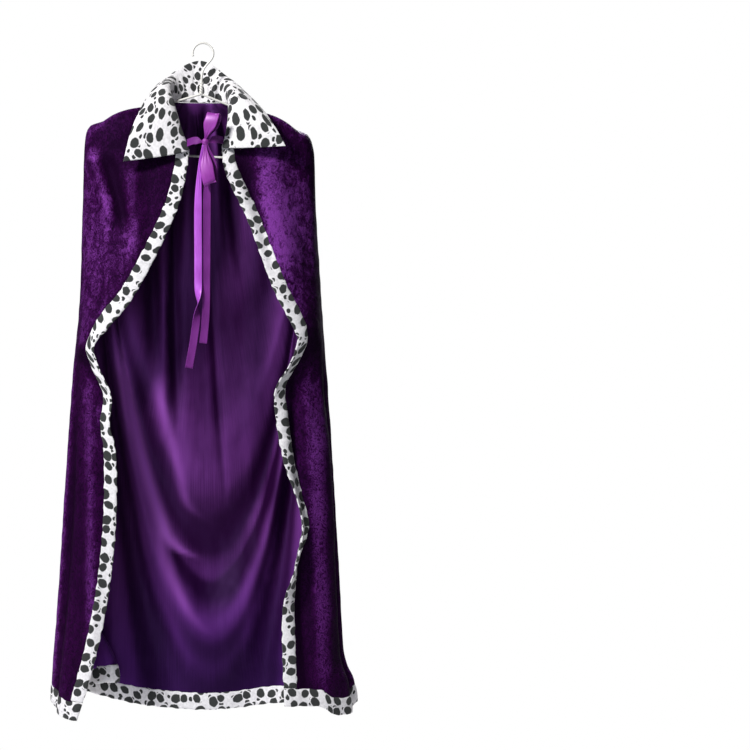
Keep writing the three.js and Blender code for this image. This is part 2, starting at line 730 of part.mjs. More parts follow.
// The left tail turns over once, two thirds of the way down.
function twist(f) {
  return -Math.PI * ease(0.6, 0.82, f);
}

function rightTail() {
  const line = [
    fromKnot(3, 2, -KNOT.halfZ + 0.1),
    fromKnot(4, 5, -40),
    fromKnot(3, 6, -110),
    fromKnot(2, 7, -230),
    fromKnot(1, 7, -310),
    fromKnot(-4, 6, -367),
  ];
  return ribbon(line, () => point(1, 0, 0), RIBBON_PINCH, RIBBON_WIDTH);
}

const wasm = await Module();
wasm.setup();

// A closed geometry as a manifold-3d solid.
function solidOf(geometry) {
  const bare = geometry.clone();
  bare.deleteAttribute("normal");
  bare.deleteAttribute("uv");
  const merged = mergeVertices(bare, 1e-4);
  return new wasm.Manifold(
    new wasm.Mesh({
      numProp: 3,
      vertProperties: new Float32Array(merged.getAttribute("position").array),
      triVerts: new Uint32Array(merged.getIndex().array),
    }),
  );
}

// A manifold-3d solid as a geometry.
function geometryOf(solid) {
  const mesh = solid.getMesh();
  const geometry = new THREE.BufferGeometry();
  geometry.setAttribute("position", new THREE.BufferAttribute(mesh.vertProperties, 3));
  geometry.setIndex(new THREE.BufferAttribute(mesh.triVerts, 1));
  return geometry;
}

// A round wire along a curve.
function wire(curve, steps) {
  const section = new THREE.Shape();
  section.absarc(0, 0, WIRE_RADIUS, 0, 2 * Math.PI);
  return new THREE.ExtrudeGeometry(section, {
    steps,
    curveSegments: WIRE_SIDES,
    bevelEnabled: false,
    extrudePath: curve,
  });
}

// The hanger: one wire that runs down an arm, round its end, along the bar and back up the other
// arm, with its hook and the twisted neck that holds its ends.
function hanger() {
  const middle = HOOK_INNER_RADIUS;
  const radius = HOOK_INNER_RADIUS + WIRE_RADIUS;
  const hookLine = [];
  for (let degrees = 200; degrees >= -40; degrees -= 20) {
    const angle = THREE.MathUtils.degToRad(degrees);
    hookLine.push(point(radius * Math.cos(angle), 0, radius * Math.sin(angle) - middle));
  }
  hookLine.push(point(4, 0, -44), point(0, 0, -56), point(0, 0, -APEX_DROP + TWIST_LENGTH / 2));
  const hook = solidOf(wire(new THREE.CatmullRomCurve3(hookLine), 34));

  const apex = point(0, 0, -APEX_DROP);
  const armEnd = (side) => point(side * ARM_END_X, 0, -APEX_DROP - ARM_END_X * Math.tan(ARM_SLOPE));
  const barEnd = (side) => point(side * ARM_END_X, 0, -BAR_DROP);
  const bendTop = (side) => armEnd(side).add(point(side * END_BEND, 0, -END_BEND * Math.tan(ARM_SLOPE)));
  const bendLow = (side) => barEnd(side).add(point(side * END_BEND, 0, 0));
  const loop = new THREE.CurvePath();
  loop.add(new THREE.LineCurve3(apex, armEnd(1)));
  loop.add(new THREE.CubicBezierCurve3(armEnd(1), bendTop(1), bendLow(1), barEnd(1)));
  loop.add(new THREE.LineCurve3(barEnd(1), barEnd(-1)));
  loop.add(new THREE.CubicBezierCurve3(barEnd(-1), bendLow(-1), bendTop(-1), armEnd(-1)));
  loop.add(new THREE.LineCurve3(armEnd(-1), apex));

  const neck = new THREE.CylinderGeometry(TWIST_RADIUS, TWIST_RADIUS, TWIST_LENGTH, 12);
  neck.rotateX(Math.PI / 2);
  neck.translate(0, 0, -APEX_DROP + TWIST_LENGTH / 2 - TWIST_RADIUS);
  return geometryOf(hook.add(solidOf(neck)).add(solidOf(wire(loop, 160))).simplify(0.02));
}

function material(color, roughness, metalness = 0) {
  return new THREE.MeshStandardMaterial({ color, roughness, metalness, side: THREE.DoubleSide });
}

const velvet = material("#4a1272", 0.75);
const plush = material("#e9e6ea", 0.95);
const satin = material("#8f3bc0", 0.4);
const coatedWire = material("#d8d6d2", 0.45);

const cape = new THREE.Group();

function addPiece(name, geometry, finish) {
  const mesh = new THREE.Mesh(geometry, finish);
  mesh.name = name;
  cape.add(mesh);
  return mesh;
}

function addCloth(name, geometry, finish) {
  addPiece(name, geometry, finish).position.x = MIDDLE_X;
}

addCloth("velvet_body", velvetBody(), velvet);
addCloth("trim_front_left", frontTrim(-1), plush);
addCloth("trim_front_right", frontTrim(1), plush);
addCloth("trim_hem", hemTrim(), plush);
addCloth("collar", collar(), plush);
addCloth("tie_left", tie(-1), satin);
addCloth("tie_right", tie(1), satin);
addCloth("bow_knot", bowKnot(), satin);
addCloth("bow_loop_up", upperLoop(), satin);
addCloth("bow_loop_down", lowerLoop(), satin);
addCloth("tie_tail_left", leftTail(), satin);
addCloth("tie_tail_right", rightTail(), satin);
addPiece("hanger", hanger(), coatedWire).rotation.y = HANGER_TILT;

export default cape;
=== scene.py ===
# %% [markdown]
# # A king cape on a wire hanger
# The real cape is one wide panel of crushed velvet, gathered into a pointed collar. Its fronts and
# its hem are bound with spotted plush, and two satin ribbons tie it at the neck. It hangs open on
# a thin wire hanger, so every fold of it comes from its own weight. The imported CAD model already
# has those forms as plain solids. This lesson dresses each solid with finer cloth.

import bmesh
import bpy
import numpy as np
from mathutils import Matrix, Vector, noise


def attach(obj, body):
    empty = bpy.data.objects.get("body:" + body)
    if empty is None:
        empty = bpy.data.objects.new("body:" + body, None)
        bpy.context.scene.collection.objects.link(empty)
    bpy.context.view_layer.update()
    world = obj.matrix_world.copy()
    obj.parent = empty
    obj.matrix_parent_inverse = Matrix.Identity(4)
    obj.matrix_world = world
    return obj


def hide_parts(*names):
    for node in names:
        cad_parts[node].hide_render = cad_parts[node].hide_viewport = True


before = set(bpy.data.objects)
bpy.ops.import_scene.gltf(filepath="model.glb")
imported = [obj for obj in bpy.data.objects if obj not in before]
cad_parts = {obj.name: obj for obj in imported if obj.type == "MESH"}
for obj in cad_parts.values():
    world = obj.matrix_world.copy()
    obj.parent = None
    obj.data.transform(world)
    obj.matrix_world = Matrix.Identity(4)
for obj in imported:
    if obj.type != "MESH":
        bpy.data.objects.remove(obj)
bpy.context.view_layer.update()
print("CAD nodes:", ", ".join(sorted(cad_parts)))

# %% [markdown]
# ## Numbers for the hang of the cloth
# A hanging cape could be simulated, but the photo shows one particular hang, with its own swags
# and swinging edges, and a simulation would settle into another. So its outline is kept in short
# tables, in millimetres: a drop below the hook, and what the cloth does there. "Left" and
# "right" are as seen from the front.

# %% The hanger's and the cloth's sizes, in millimetres
# The hanger
WIRE_RADIUS = 2.0
HOOK_RADIUS = 19.0
APEX_DROP = 92.0
ARM_END_X = 190.0
END_BEND = 14.0
ARM_SLOPE = np.radians(19.4)
BAR_DROP = 207.0
HANGER_TILT = np.radians(2.6)
MIDDLE_X = -8.0

# The velvet's thickness, the gap at a seam, and the widths of the trims
VELVET = 1.6
SEAM_GAP = 0.4
FRONT_TRIM = 25.0
HEM_TRIM = 32.0

# The neck seam, and the yoke that lies on the hanger
NECK_HALF_WIDTH = 54.0
NECK_BACK_DEPTH = 36.0
NECK_FRONT_DEPTH = 56.0
NECK_BACK_DROP = 106.0
NECK_FRONT_DROP_LEFT = 200.0
NECK_FRONT_DROP_RIGHT = 195.0
NECK_FRONT_ANGLE = np.radians(147)
NECK_OPENING_SHIFT = 12.0
BACK_YOKE_DROP = 205.0
FRONT_YOKE_DROP = 250.0
RIDGE_ROUNDING = 45.0

# %% The outline's tables: a drop, and how far out each side reaches there
LEFT_SIDE = np.array([
    (149.6, 198), (158, 204.5), (170, 208), (200, 210.5), (287, 213), (480, 219),
    (600, 229), (710, 236), (960, 251), (1150, 265), (1250, 270),
], float)
RIGHT_SIDE = np.array([
    (166, 198), (175, 204.5), (188, 208.5), (206, 211.5), (300, 214), (480, 224),
    (710, 240), (960, 256), (1110, 264), (1140, 270), (1170, 283), (1250, 294),
], float)

# %% The front edges: a drop, the edge's x and y, and how far the cloth is turned there
LEFT_EDGE = np.array([
    (200, -16, -50, 0), (294, -35, -57, 0), (385, -75, -62, 0), (477, -126, -64, 0),
    (530, -171, -62, 0), (557, -191, -60, -20), (592, -184, -62, -64), (648, -160, -70, -70),
    (700, -163, -68, -62), (745, -152, -62, -20), (850, -150, -60, 0), (960, -158, -61, 0),
    (1067, -175, -63, 0), (1172, -201, -65, 0), (1250, -226, -66, 0),
], float)
RIGHT_EDGE = np.array([
    (195, 38, -50, 0), (245, 50, -54, 0), (326, 88, -59, 0), (457, 137, -64, 0),
    (518, 169, -64, 0), (545, 179, -62, -20), (590, 165, -66, -66), (635, 139, -68, -50),
    (690, 140, -63, 0), (775, 156, -62, -5), (835, 178, -64, -50), (890, 189, -68, -70),
    (965, 174, -70, -70), (1020, 155, -66, -35), (1075, 151, -64, 0), (1250, 157, -66, 0),
], float)
BACK_DEPTH = np.array([(106, 36), (180, 42), (400, 50), (800, 56), (1250, 58)], float)

# %% The hem: a place round the cape, from -2 to 2, and its drop
HEM = np.array([
    (-2, 1240), (-1.5, 1232), (-1.05, 1210), (-0.89, 1174), (-0.65, 1195), (-0.45, 1210),
    (-0.24, 1224), (0, 1231), (0.17, 1228), (0.4, 1217), (1, 1210), (1.2, 1228),
    (1.48, 1229), (1.6, 1215), (2, 1213),
], float)

# %% The folds
# Swags: the lowest drop, the half height as a share of it, and how far out they stand
SWAGS = [
    (560, 0.13, 5), (745, 0.08, -6), (925, 0.085, 17), (1098, 0.07, -15),
    (1300, 0.11, 13), (1800, 0.17, -11), (2700, 0.2, 12), (4700, 0.25, -9),
]
SWAG_CENTRE_X = 22
SWAG_CURVE = 1.95

# Long folds: the x and drop where they begin and end, their half width, and how far out
BACK_FOLDS = [
    (8, 250, 47, 830, 8, 5), (10, 112, 4, 330, 9, 6), (-50, 118, -41, 760, 12, 8),
    (-66, 124, -63, 700, 10, -9), (-84, 132, -86, 560, 11, 7), (-22, 112, -18, 420, 10, -5),
    (30, 116, 34, 300, 9, -6), (46, 118, 76, 420, 12, 8), (96, 160, 146, 420, 14, 7),
    (-128, 168, -170, 330, 12, 7),
]
LEFT_FRONT_FOLDS = [
    (-192, 205, -160, 330, 12, 8), (-168, 215, -132, 350, 12, -7),
    (-120, 240, -112, 420, 14, 6), (-196, 620, -190, 1140, 14, 8),
]
RIGHT_FRONT_FOLDS = [
    (84, 225, 132, 430, 13, -8), (130, 210, 168, 440, 24, 8),
    (176, 640, 196, 1180, 15, -12), (222, 700, 238, 1230, 20, 8),
]

# Folds down the sides: their place round the cape, half width, how far out, and first drop
SIDE_FOLDS = [
    (-1.22, 0.09, -7, 420), (-1.02, 0.07, 4, 380), (-0.9, 0.05, -9, 300), (-0.76, 0.05, 9, 300),
    (0.76, 0.05, 9, 260), (0.86, 0.045, -12, 260), (0.96, 0.05, 4, 320), (1.12, 0.07, -8, 420),
]
PLEAT_AT, PLEAT_HALF, PLEAT_INWARD, PLEAT_FORWARD = -0.886, 0.056, 95, 10
PLEAT_BEGINS, PLEAT_FULL = 940, 1180

# %% The collar: a place round it, the point that it rises towards, and its outer edge
COLLAR = np.array([
    (-2, -30, -66, 208, -138, -70, 220), (-1.5, -34, -46, 96, -124, -62, 164),
    (-1, -42, -6, 52, -99, -28, 106), (-0.5, -35, 34, 50, -62, 26, 60),
    (0, 0, 44, 62, 2, 54, 26), (0.5, 34, 34, 54, 58, 26, 62),
    (1, 46, -6, 62, 104, -28, 108), (1.5, 54, -46, 96, 136, -62, 152),
    (2, 49, -66, 198, 158, -70, 192),
], float)
KNOT = Vector((11.5, -72, -184.5))
print("Widest drop table:", len(RIGHT_EDGE), "rows")

# %% [markdown]
# ## Curves through tables
# A table only has a row here and there. A smooth cubic through its rows gives every place
# between, which is how a pattern maker joins measured points with a curved ruler. All of these
# helpers take whole arrays, so that tens of thousands of points cost a moment.

# %% Smooth steps, bells and curves
def ease(a, b, x):
    """A smooth step from 0 at a to 1 at b."""
    t = np.clip((x - a) / (b - a), 0, 1)
    return t * t * (3 - 2 * t)


def bell(x):
    """1 at 0, falling smoothly to nothing by 2 on either side."""
    return np.exp(-np.square(x))


def mix(a, b, f):
    """A share f of the way from a to b."""
    return a + (b - a) * f


def hermite(a, leave, b, arrive, f):
    """The cubic from a to b with the slopes leave and arrive."""
    g = f * f
    h = g * f
    ends = (2 * h - 3 * g + 1) * a + (3 * g - 2 * h) * b
    return ends + (h - 2 * g + f) * leave + (h - g) * arrive


def read(table, column, at):
    """A column of a table at any value of its first column."""
    key, value = table[:, 0], table[:, column]
    last = len(table) - 1
    at = np.clip(at, key[0], key[last])
    i = np.clip(np.searchsorted(key, at) - 1, 0, last - 1)
    before = np.maximum(i - 1, 0)
    after = np.minimum(i + 2, last)
    span = key[i + 1] - key[i]
    rise = value[i + 1] - value[i]
    lead = (value[i + 1] - value[before]) / (key[i + 1] - key[before])
    trail = (value[after] - value[i]) / (key[after] - key[i])
    leave = np.where(i > 0, lead * span, rise)
    arrive = np.where(i < last - 1, trail * span, rise)
    return hermite(value[i], leave, value[i + 1], arrive, (at - key[i]) / span)


def bend(a, pull, b, t):
    """The curve from a to b that is drawn towards pull."""
    return (1 - t) ** 2 * a + 2 * (1 - t) * t * pull + t**2 * b


def length(v):
    return np.linalg.norm(v, axis=-1, keepdims=True)


def unit(v):
    return v / np.maximum(length(v), 1e-9)


def walked(points):
    """The distance walked along each line of points."""
    steps = length(np.diff(points, axis=-2))[..., 0]
    return np.concatenate([np.zeros_like(steps[..., :1]), np.cumsum(steps, -1)], -1)


print("Hem drop at the centre back:", float(read(HEM, 1, 0.0)), "mm")

# %% [markdown]
# ## The cape's surface
# Every point of the cape has two numbers. "around" runs from -2 at the left front edge through
# -1 at the left side, 0 at the centre back and 1 at the right side to 2 at the right front edge.
# "down" runs from 0 at the neck seam through 1 at the bottom of the yoke, the part that lies on
# the hanger's arms, to 2 at the hem. One function turns them into a place, so velvet, trims and
# collar share their seams exactly.

# %% The neck seam and the hanger's ridge
def ridge_drop(cloth_x):
    """The drop of velvet lying on a hanger arm."""
    x = cloth_x + MIDDLE_X
    reach = np.where(x < 0, -ARM_END_X, ARM_END_X)
    fall = -APEX_DROP - ARM_END_X * np.tan(ARM_SLOPE)
    cos, sin = np.cos(HANGER_TILT), np.sin(HANGER_TILT)
    apex_x, apex_z = -APEX_DROP * sin, -APEX_DROP * cos
    end_x, end_z = reach * cos + fall * sin, fall * cos - reach * sin
    slope = (end_z - apex_z) / (end_x - apex_x)
    lift = (WIRE_RADIUS + 1.8 * SEAM_GAP + VELVET / 2) * np.hypot(1, slope)
    return -(apex_z + (x - apex_x) * slope + lift)


def neck_point(around):
    """A place on the neck seam, which opens and drops towards the front."""
    reach = np.abs(around)
    side = np.sign(around)
    front = np.maximum(0, reach - 1)
    angle = np.minimum(reach, 1) * np.pi / 2 + front * (NECK_FRONT_ANGLE - np.pi / 2)
    x = side * NECK_HALF_WIDTH * np.sin(angle) + NECK_OPENING_SHIFT * ease(0, 1, front)
    y = np.where(angle < np.pi / 2, NECK_BACK_DEPTH, NECK_FRONT_DEPTH) * np.cos(angle)
    front_drop = np.where(side < 0, NECK_FRONT_DROP_LEFT, NECK_FRONT_DROP_RIGHT)
    side_drop = ridge_drop(np.where(side < 0, -NECK_HALF_WIDTH, NECK_HALF_WIDTH))
    back = mix(NECK_BACK_DROP, side_drop, np.sin(angle) ** 2)
    drop = np.where(reach < 1, back, mix(side_drop, front_drop, front**1.4))
    return np.stack(np.broadcast_arrays(x, y, -drop), -1)


# %% The heights of the folds
def side_reach(around, drop):
    """How far out the side nearer to a place is."""
    return np.where(around < 0, read(LEFT_SIDE, 1, drop), read(RIGHT_SIDE, 1, drop))


def corner_drop(around):
    """The drop of the shoulder's corner, where the hanger's arm ends."""
    return np.where(around < 0, LEFT_SIDE[0, 0], RIGHT_SIDE[0, 0])


def fold_height(folds, x, drop):
    """How far a table of long folds carries the cloth out at a place."""
    total = 0
    for x0, drop0, x1, drop1, half, out in folds:
        along = (drop - drop0) / (drop1 - drop0)
        centre = mix(x0, x1, np.clip(along, -0.2, 1.2))
        fade = ease(-0.12, 0.12, along) * (1 - ease(0.7, 1.15, along))
        total = total + out * fade * bell((x - centre) / half)
    return total


def swag_line(x, drop, half, corner):
    """The lowest drop of the swag line that passes through a point, and how far it has risen."""
    centre = SWAG_CENTRE_X * (1 - np.minimum(1, np.abs(x) / half) ** 2)
    rise = np.minimum(0.985, np.abs(x - centre) / half) ** SWAG_CURVE
    return (drop - corner * rise) / (1 - rise), rise


def swag_height(x, drop, half, corner):
    """How far the swags carry the back's cloth out at a place."""
    bottom, rise = swag_line(x, drop, half, corner)
    safe = np.maximum(bottom, 50)
    total = 0
    for lowest, share, out in SWAGS:
        total = total + out * bell(np.log(safe / lowest) / share)
    total = total * np.sqrt(1 - rise) * ease(corner, corner + 260, drop)
    return np.where(bottom < 50, 0, total)


def side_fold_height(around, drop):
    """How far the folds down the sides carry the cloth out at a place."""
    total = 0
    for at, half, out, begins in SIDE_FOLDS:
        total = total + out * bell((around - at) / half) * ease(begins, begins + 520, drop)
    return total


# %% The cape's section at a drop, without and with its folds
def section_base(around, drop):
    """The plain section: a flat bow for the back, and each front curving to its edge."""
    side = np.where(around < 0, -1.0, 1.0)
    reach = np.abs(around)
    half = side_reach(around, drop)
    back = np.minimum(reach, 1)
    even = 0.4 * back + 0.6 * np.sin(back * np.pi / 2)
    across = even ** mix(1.8, 1, ease(170, 800, drop))
    pleat = bell((around - PLEAT_AT) / PLEAT_HALF) * ease(PLEAT_BEGINS, PLEAT_FULL, drop)
    back_x = side * half * across + PLEAT_INWARD * pleat
    bulge = read(BACK_DEPTH, 1, drop) * np.maximum(0, 1 - across**3) ** 0.6
    back_y = bulge - PLEAT_FORWARD * pleat
    front = np.maximum(reach - 1, 0)
    edge_x, edge_y, turn = [
        np.where(around < 0, read(LEFT_EDGE, k, drop), read(RIGHT_EDGE, k, drop))
        for k in (1, 2, 3)
    ]
    turn = np.radians(turn)
    start = side * half
    arrive = 0.9 * np.abs(edge_x - start) + 25
    front_x = hermite(start, 0, edge_x, -side * np.cos(turn) * arrive, front)
    front_y = hermite(0, 1.7 * edge_y, edge_y, np.sin(turn) * arrive, front)
    return np.where(reach <= 1, back_x, front_x), np.where(reach <= 1, back_y, front_y)


def folds_out(around, drop, x):
    """How far all the folds together carry the cloth outwards."""
    reach = np.abs(around)
    swags = swag_height(x, drop, side_reach(around, drop), corner_drop(around))
    back = swags + fold_height(BACK_FOLDS, x, drop) * (1 - ease(0.85, 1, reach))
    front = np.where(
        around < 0, fold_height(LEFT_FRONT_FOLDS, x, drop), fold_height(RIGHT_FRONT_FOLDS, x, drop)
    )
    front = front * ease(0, 0.2, reach - 1) * (1 - ease(0.8, 1, reach - 1))
    return side_fold_height(around, drop) + np.where(reach < 1, back, front)


def section_point(around, drop):
    """A place on the section, moved out by its folds."""
    x, y = section_base(around, drop)
    x0, y0 = section_base(np.maximum(-2, around - 0.01), drop)
    x1, y1 = section_base(np.minimum(2, around + 0.01), drop)
    span = np.maximum(np.hypot(x1 - x0, y1 - y0), 1e-9)
    height = folds_out(around, drop, x)
    out_x, out_y = -(y1 - y0) / span, (x1 - x0) / span
    return np.stack(np.broadcast_arrays(x + out_x * height, y + out_y * height, -drop), -1)


# %% The bottom of the yoke, the hem, and any point of the surface
def yoke_drop(around):
    """Where the cloth stops lying on the hanger and starts to hang."""
    corner = corner_drop(around)
    reach = np.abs(around)
    middle = read(BACK_DEPTH, 1, BACK_YOKE_DROP)
    depth = section_base(around, corner + 20)[1]
    fall = [np.hypot(d, RIDGE_ROUNDING) - RIDGE_ROUNDING for d in (depth, middle)]
    back = mix(corner, BACK_YOKE_DROP, np.minimum(1, fall[0] / fall[1]))
    return np.where(reach <= 1, back, mix(corner, FRONT_YOKE_DROP, ease(0, 1, reach - 1)))


def cape_point(around, down):
    """A place on the cape, in the cloth's own millimetres."""
    around, down = np.broadcast_arrays(np.asarray(around, float), np.asarray(down, float))
    low_drop = yoke_drop(around)
    skirt = section_point(around, mix(low_drop, read(HEM, 1, around), np.maximum(down, 1) - 1))
    t = np.minimum(down, 1)[..., None]
    low = section_point(around, low_drop)
    high = neck_point(around)
    hanging = unit(section_point(around, low_drop + 8) - low)
    bulging = low - hanging * 0.45 * length(high - low)
    shoulder = ease(0, 0.35, np.abs(1 - np.abs(around)))[..., None]
    control = mix((high + low) / 2, bulging, shoulder)
    yoke = bend(high, control, low, t)
    at = t[..., 0]
    folds = fold_height(BACK_FOLDS, yoke[..., 0], -yoke[..., 2])
    folds = folds * (1 - ease(0.6, 0.95, np.abs(around))) * (1 - at) * ease(0, 0.3, at)
    yoke[..., 1] += np.where(np.abs(around) < 1, folds, 0)
    return np.where(down[..., None] >= 1, skirt, yoke)


print("Centre back of the hem:", cape_point(0.0, 2.0).round(1), "mm")

# %% [markdown]
# ## Seams
# A trim keeps its width square to the edge that it binds, however the edge swings. So the strip's
# start is found by walking in from the front edge until the cloth walked over is as wide as the
# trim. The hem's trim is simply measured up from the hem.

# %% Where the trims begin
WALK = np.linspace(2, 1, 101)
BODY_COLUMNS, FRONT_SHARE = 62, 9
YOKE_SHARE = 4 / 29
LEVELS = np.linspace(0, 2, 401)
seams = {}


def strip_start(side, down, width):
    """Where a strip of a width begins, beside one front edge."""
    edge = side * 2.0
    below, above = np.minimum(2, down + 0.01), np.maximum(0, down - 0.01)
    ahead = unit(cape_point(edge, below) - cape_point(edge, above))
    across = unit(cape_point(edge, down) - cape_point(side * 1.99, down))
    slant = np.sqrt(np.maximum(0, 1 - (ahead * across).sum(-1) ** 2))
    wide = width / np.maximum(0.5, slant)
    far = walked(cape_point(side * WALK[None, :], down[:, None]))
    return np.array([np.interp(w, row, WALK) for w, row in zip(wide, far)])


def seam_at(side, down, width):
    """strip_start at many levels, read from a table that is worked out once."""
    if (side, width) not in seams:
        seams[side, width] = strip_start(side, LEVELS, width)
    return np.interp(down, LEVELS, seams[side, width])


def trim_top(around, width):
    """"down" at the upper edge of a strip along the hem."""
    return 2 - width / (read(HEM, 1, around) - yoke_drop(around))


def row_down(v, around, gap=3.5 * SEAM_GAP):
    """"down" at a share v of the way from the neck to the hem's trim."""
    skirt = mix(1, trim_top(around, HEM_TRIM + gap), (v - YOKE_SHARE) / (1 - YOKE_SHARE))
    return np.where(v <= YOKE_SHARE, v / YOKE_SHARE, skirt)


def column_around(u, left, right):
    """"around" at a share u of the way across, closer together round the sides."""
    i = u * BODY_COLUMNS
    far = BODY_COLUMNS - FRONT_SHARE
    on_left = mix(-1, left, np.clip(1 - i / FRONT_SHARE, 0, 1) ** 1.25)
    on_right = mix(1, right, np.clip((i - far) / FRONT_SHARE, 0, 1) ** 1.25)
    back = -1 + 2 * (i - FRONT_SHARE) / (BODY_COLUMNS - 2 * FRONT_SHARE)
    return np.where(i <= FRONT_SHARE, on_left, np.where(i >= far, on_right, back))


# %% [markdown]
# ## Laying a grid of cloth
# Each piece of cloth starts as a flat grid, as it lay on the cutting table. A function then lays
# every vertex in its place, and the flat place is kept as a UV map in metres. Weave and spots that
# read this map follow the cloth round its folds.

# %% Pieces, grids and walls
def in_frame(points):
    """From the cloth's own millimetres to the model's metres."""
    return (points + np.array([MIDDLE_X, 0, 0])) * 0.001


def show(name, data):
    """Puts a mesh, a lamp or a camera in the scene."""
    made = bpy.data.objects.new(name, data)
    bpy.context.scene.collection.objects.link(made)
    return made


def piece_from(bm, name):
    """Turns a bmesh into a smooth piece."""
    for face in bm.faces:
        face.smooth = True
    mesh = bpy.data.meshes.new(name)
    bm.to_mesh(mesh)
    bm.free()
    return show(name, mesh)


def lay_grid(name, columns, rows, lay):
    """lay(u, v) gives each vertex's point and its place on the flat cloth, in millimetres."""
    grid = bmesh.new()
    bmesh.ops.create_grid(grid, x_segments=columns, y_segments=rows, size=0.5)
    piece = piece_from(grid, name)
    mesh = piece.data
    flat = np.empty(len(mesh.vertices) * 3)
    mesh.vertices.foreach_get("co", flat)
    flat = flat.reshape(-1, 3)
    points, cut = lay(np.clip(flat[:, 0] + 0.5, 0, 1), np.clip(flat[:, 1] + 0.5, 0, 1))
    mesh.vertices.foreach_set("co", in_frame(points).ravel())
    corners = np.empty(len(mesh.loops), int)
    mesh.loops.foreach_get("vertex_index", corners)
    cloth_map = mesh.uv_layers.new(name="cut")
    cloth_map.data.foreach_set("uv", (cut[corners] * 0.001).ravel())
    mesh.update()
    return piece


def close_tube(piece):
    """Merges the long seam of a rolled-up grid and fills its two ends."""
    tube = bmesh.new()
    tube.from_mesh(piece.data)
    bmesh.ops.remove_doubles(tube, verts=tube.verts, dist=1e-5)
    open_edges = [e for e in tube.edges if e.is_boundary]
    bmesh.ops.holes_fill(tube, edges=open_edges, sides=0)
    bmesh.ops.recalc_face_normals(tube, faces=tube.faces)
    tube.to_mesh(piece.data)
    tube.free()


def add_wall(piece, thickness):
    """Gives a sheet its thickness in millimetres, with its second material behind."""
    wall = piece.modifiers.new("thickness", "SOLIDIFY")
    wall.thickness = thickness * 0.001
    wall.offset = 0
    wall.material_offset = 1


def surface_area(piece):
    """The area of a piece's faces, in square metres."""
    return sum(p.area for p in piece.data.polygons)


# %% Dress a piece, and find the ways that a surface faces
def dress(piece, slot, finishes, *nodes):
    """Gives a piece its materials and its place in the model."""
    for finish in finishes:
        piece.data.materials.append(finish)
    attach(piece, "root")
    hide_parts(*nodes)
    return piece


def normals_of(surface, around, out, last, step=0.004):
    """The ways that a surface faces, whose second number runs from 0 to last."""
    right, left = np.minimum(2, around + step), np.maximum(-2, around - step)
    far, near = np.minimum(last, out + step), np.maximum(0, out - step)
    across = surface(right, out) - surface(left, out)
    return unit(np.cross(across, surface(around, far) - surface(around, near)))


# %% [markdown]
# ## A class for shader sums
# A material's patterns are sums of many small steps. Written as Python expressions they read like
# the arithmetic that they are, and each sign adds its own Math node. Everything else, such as a
# noise or a ramp, comes from one method that sets the node's settings first and then its sockets.

# %% Sockets that can be added and multiplied
class Shade:
    def __init__(self, finish, socket):
        self.finish = finish
        self.socket = socket

    def math(self, operation, other=None, swap=False):
        """A Math node on this value and another. swap puts the other one first."""
        pair = (other, self) if swap else (self, other)
        values = {k: v for k, v in enumerate(pair) if v is not None}
        return self.finish.node("Math", {"operation": operation}, values)

    def __add__(self, other):
        return self.math("ADD", other)

    def __sub__(self, other):
        return self.math("SUBTRACT", other)

    def __rsub__(self, other):
        return self.math("SUBTRACT", other, swap=True)

    def __mul__(self, other):
        return self.math("MULTIPLY", other)

    def __gt__(self, other):
        return self.math("GREATER_THAN", other)

    def __abs__(self):
        return self.math("ABSOLUTE")

    __radd__ = __add__
    __rmul__ = __mul__


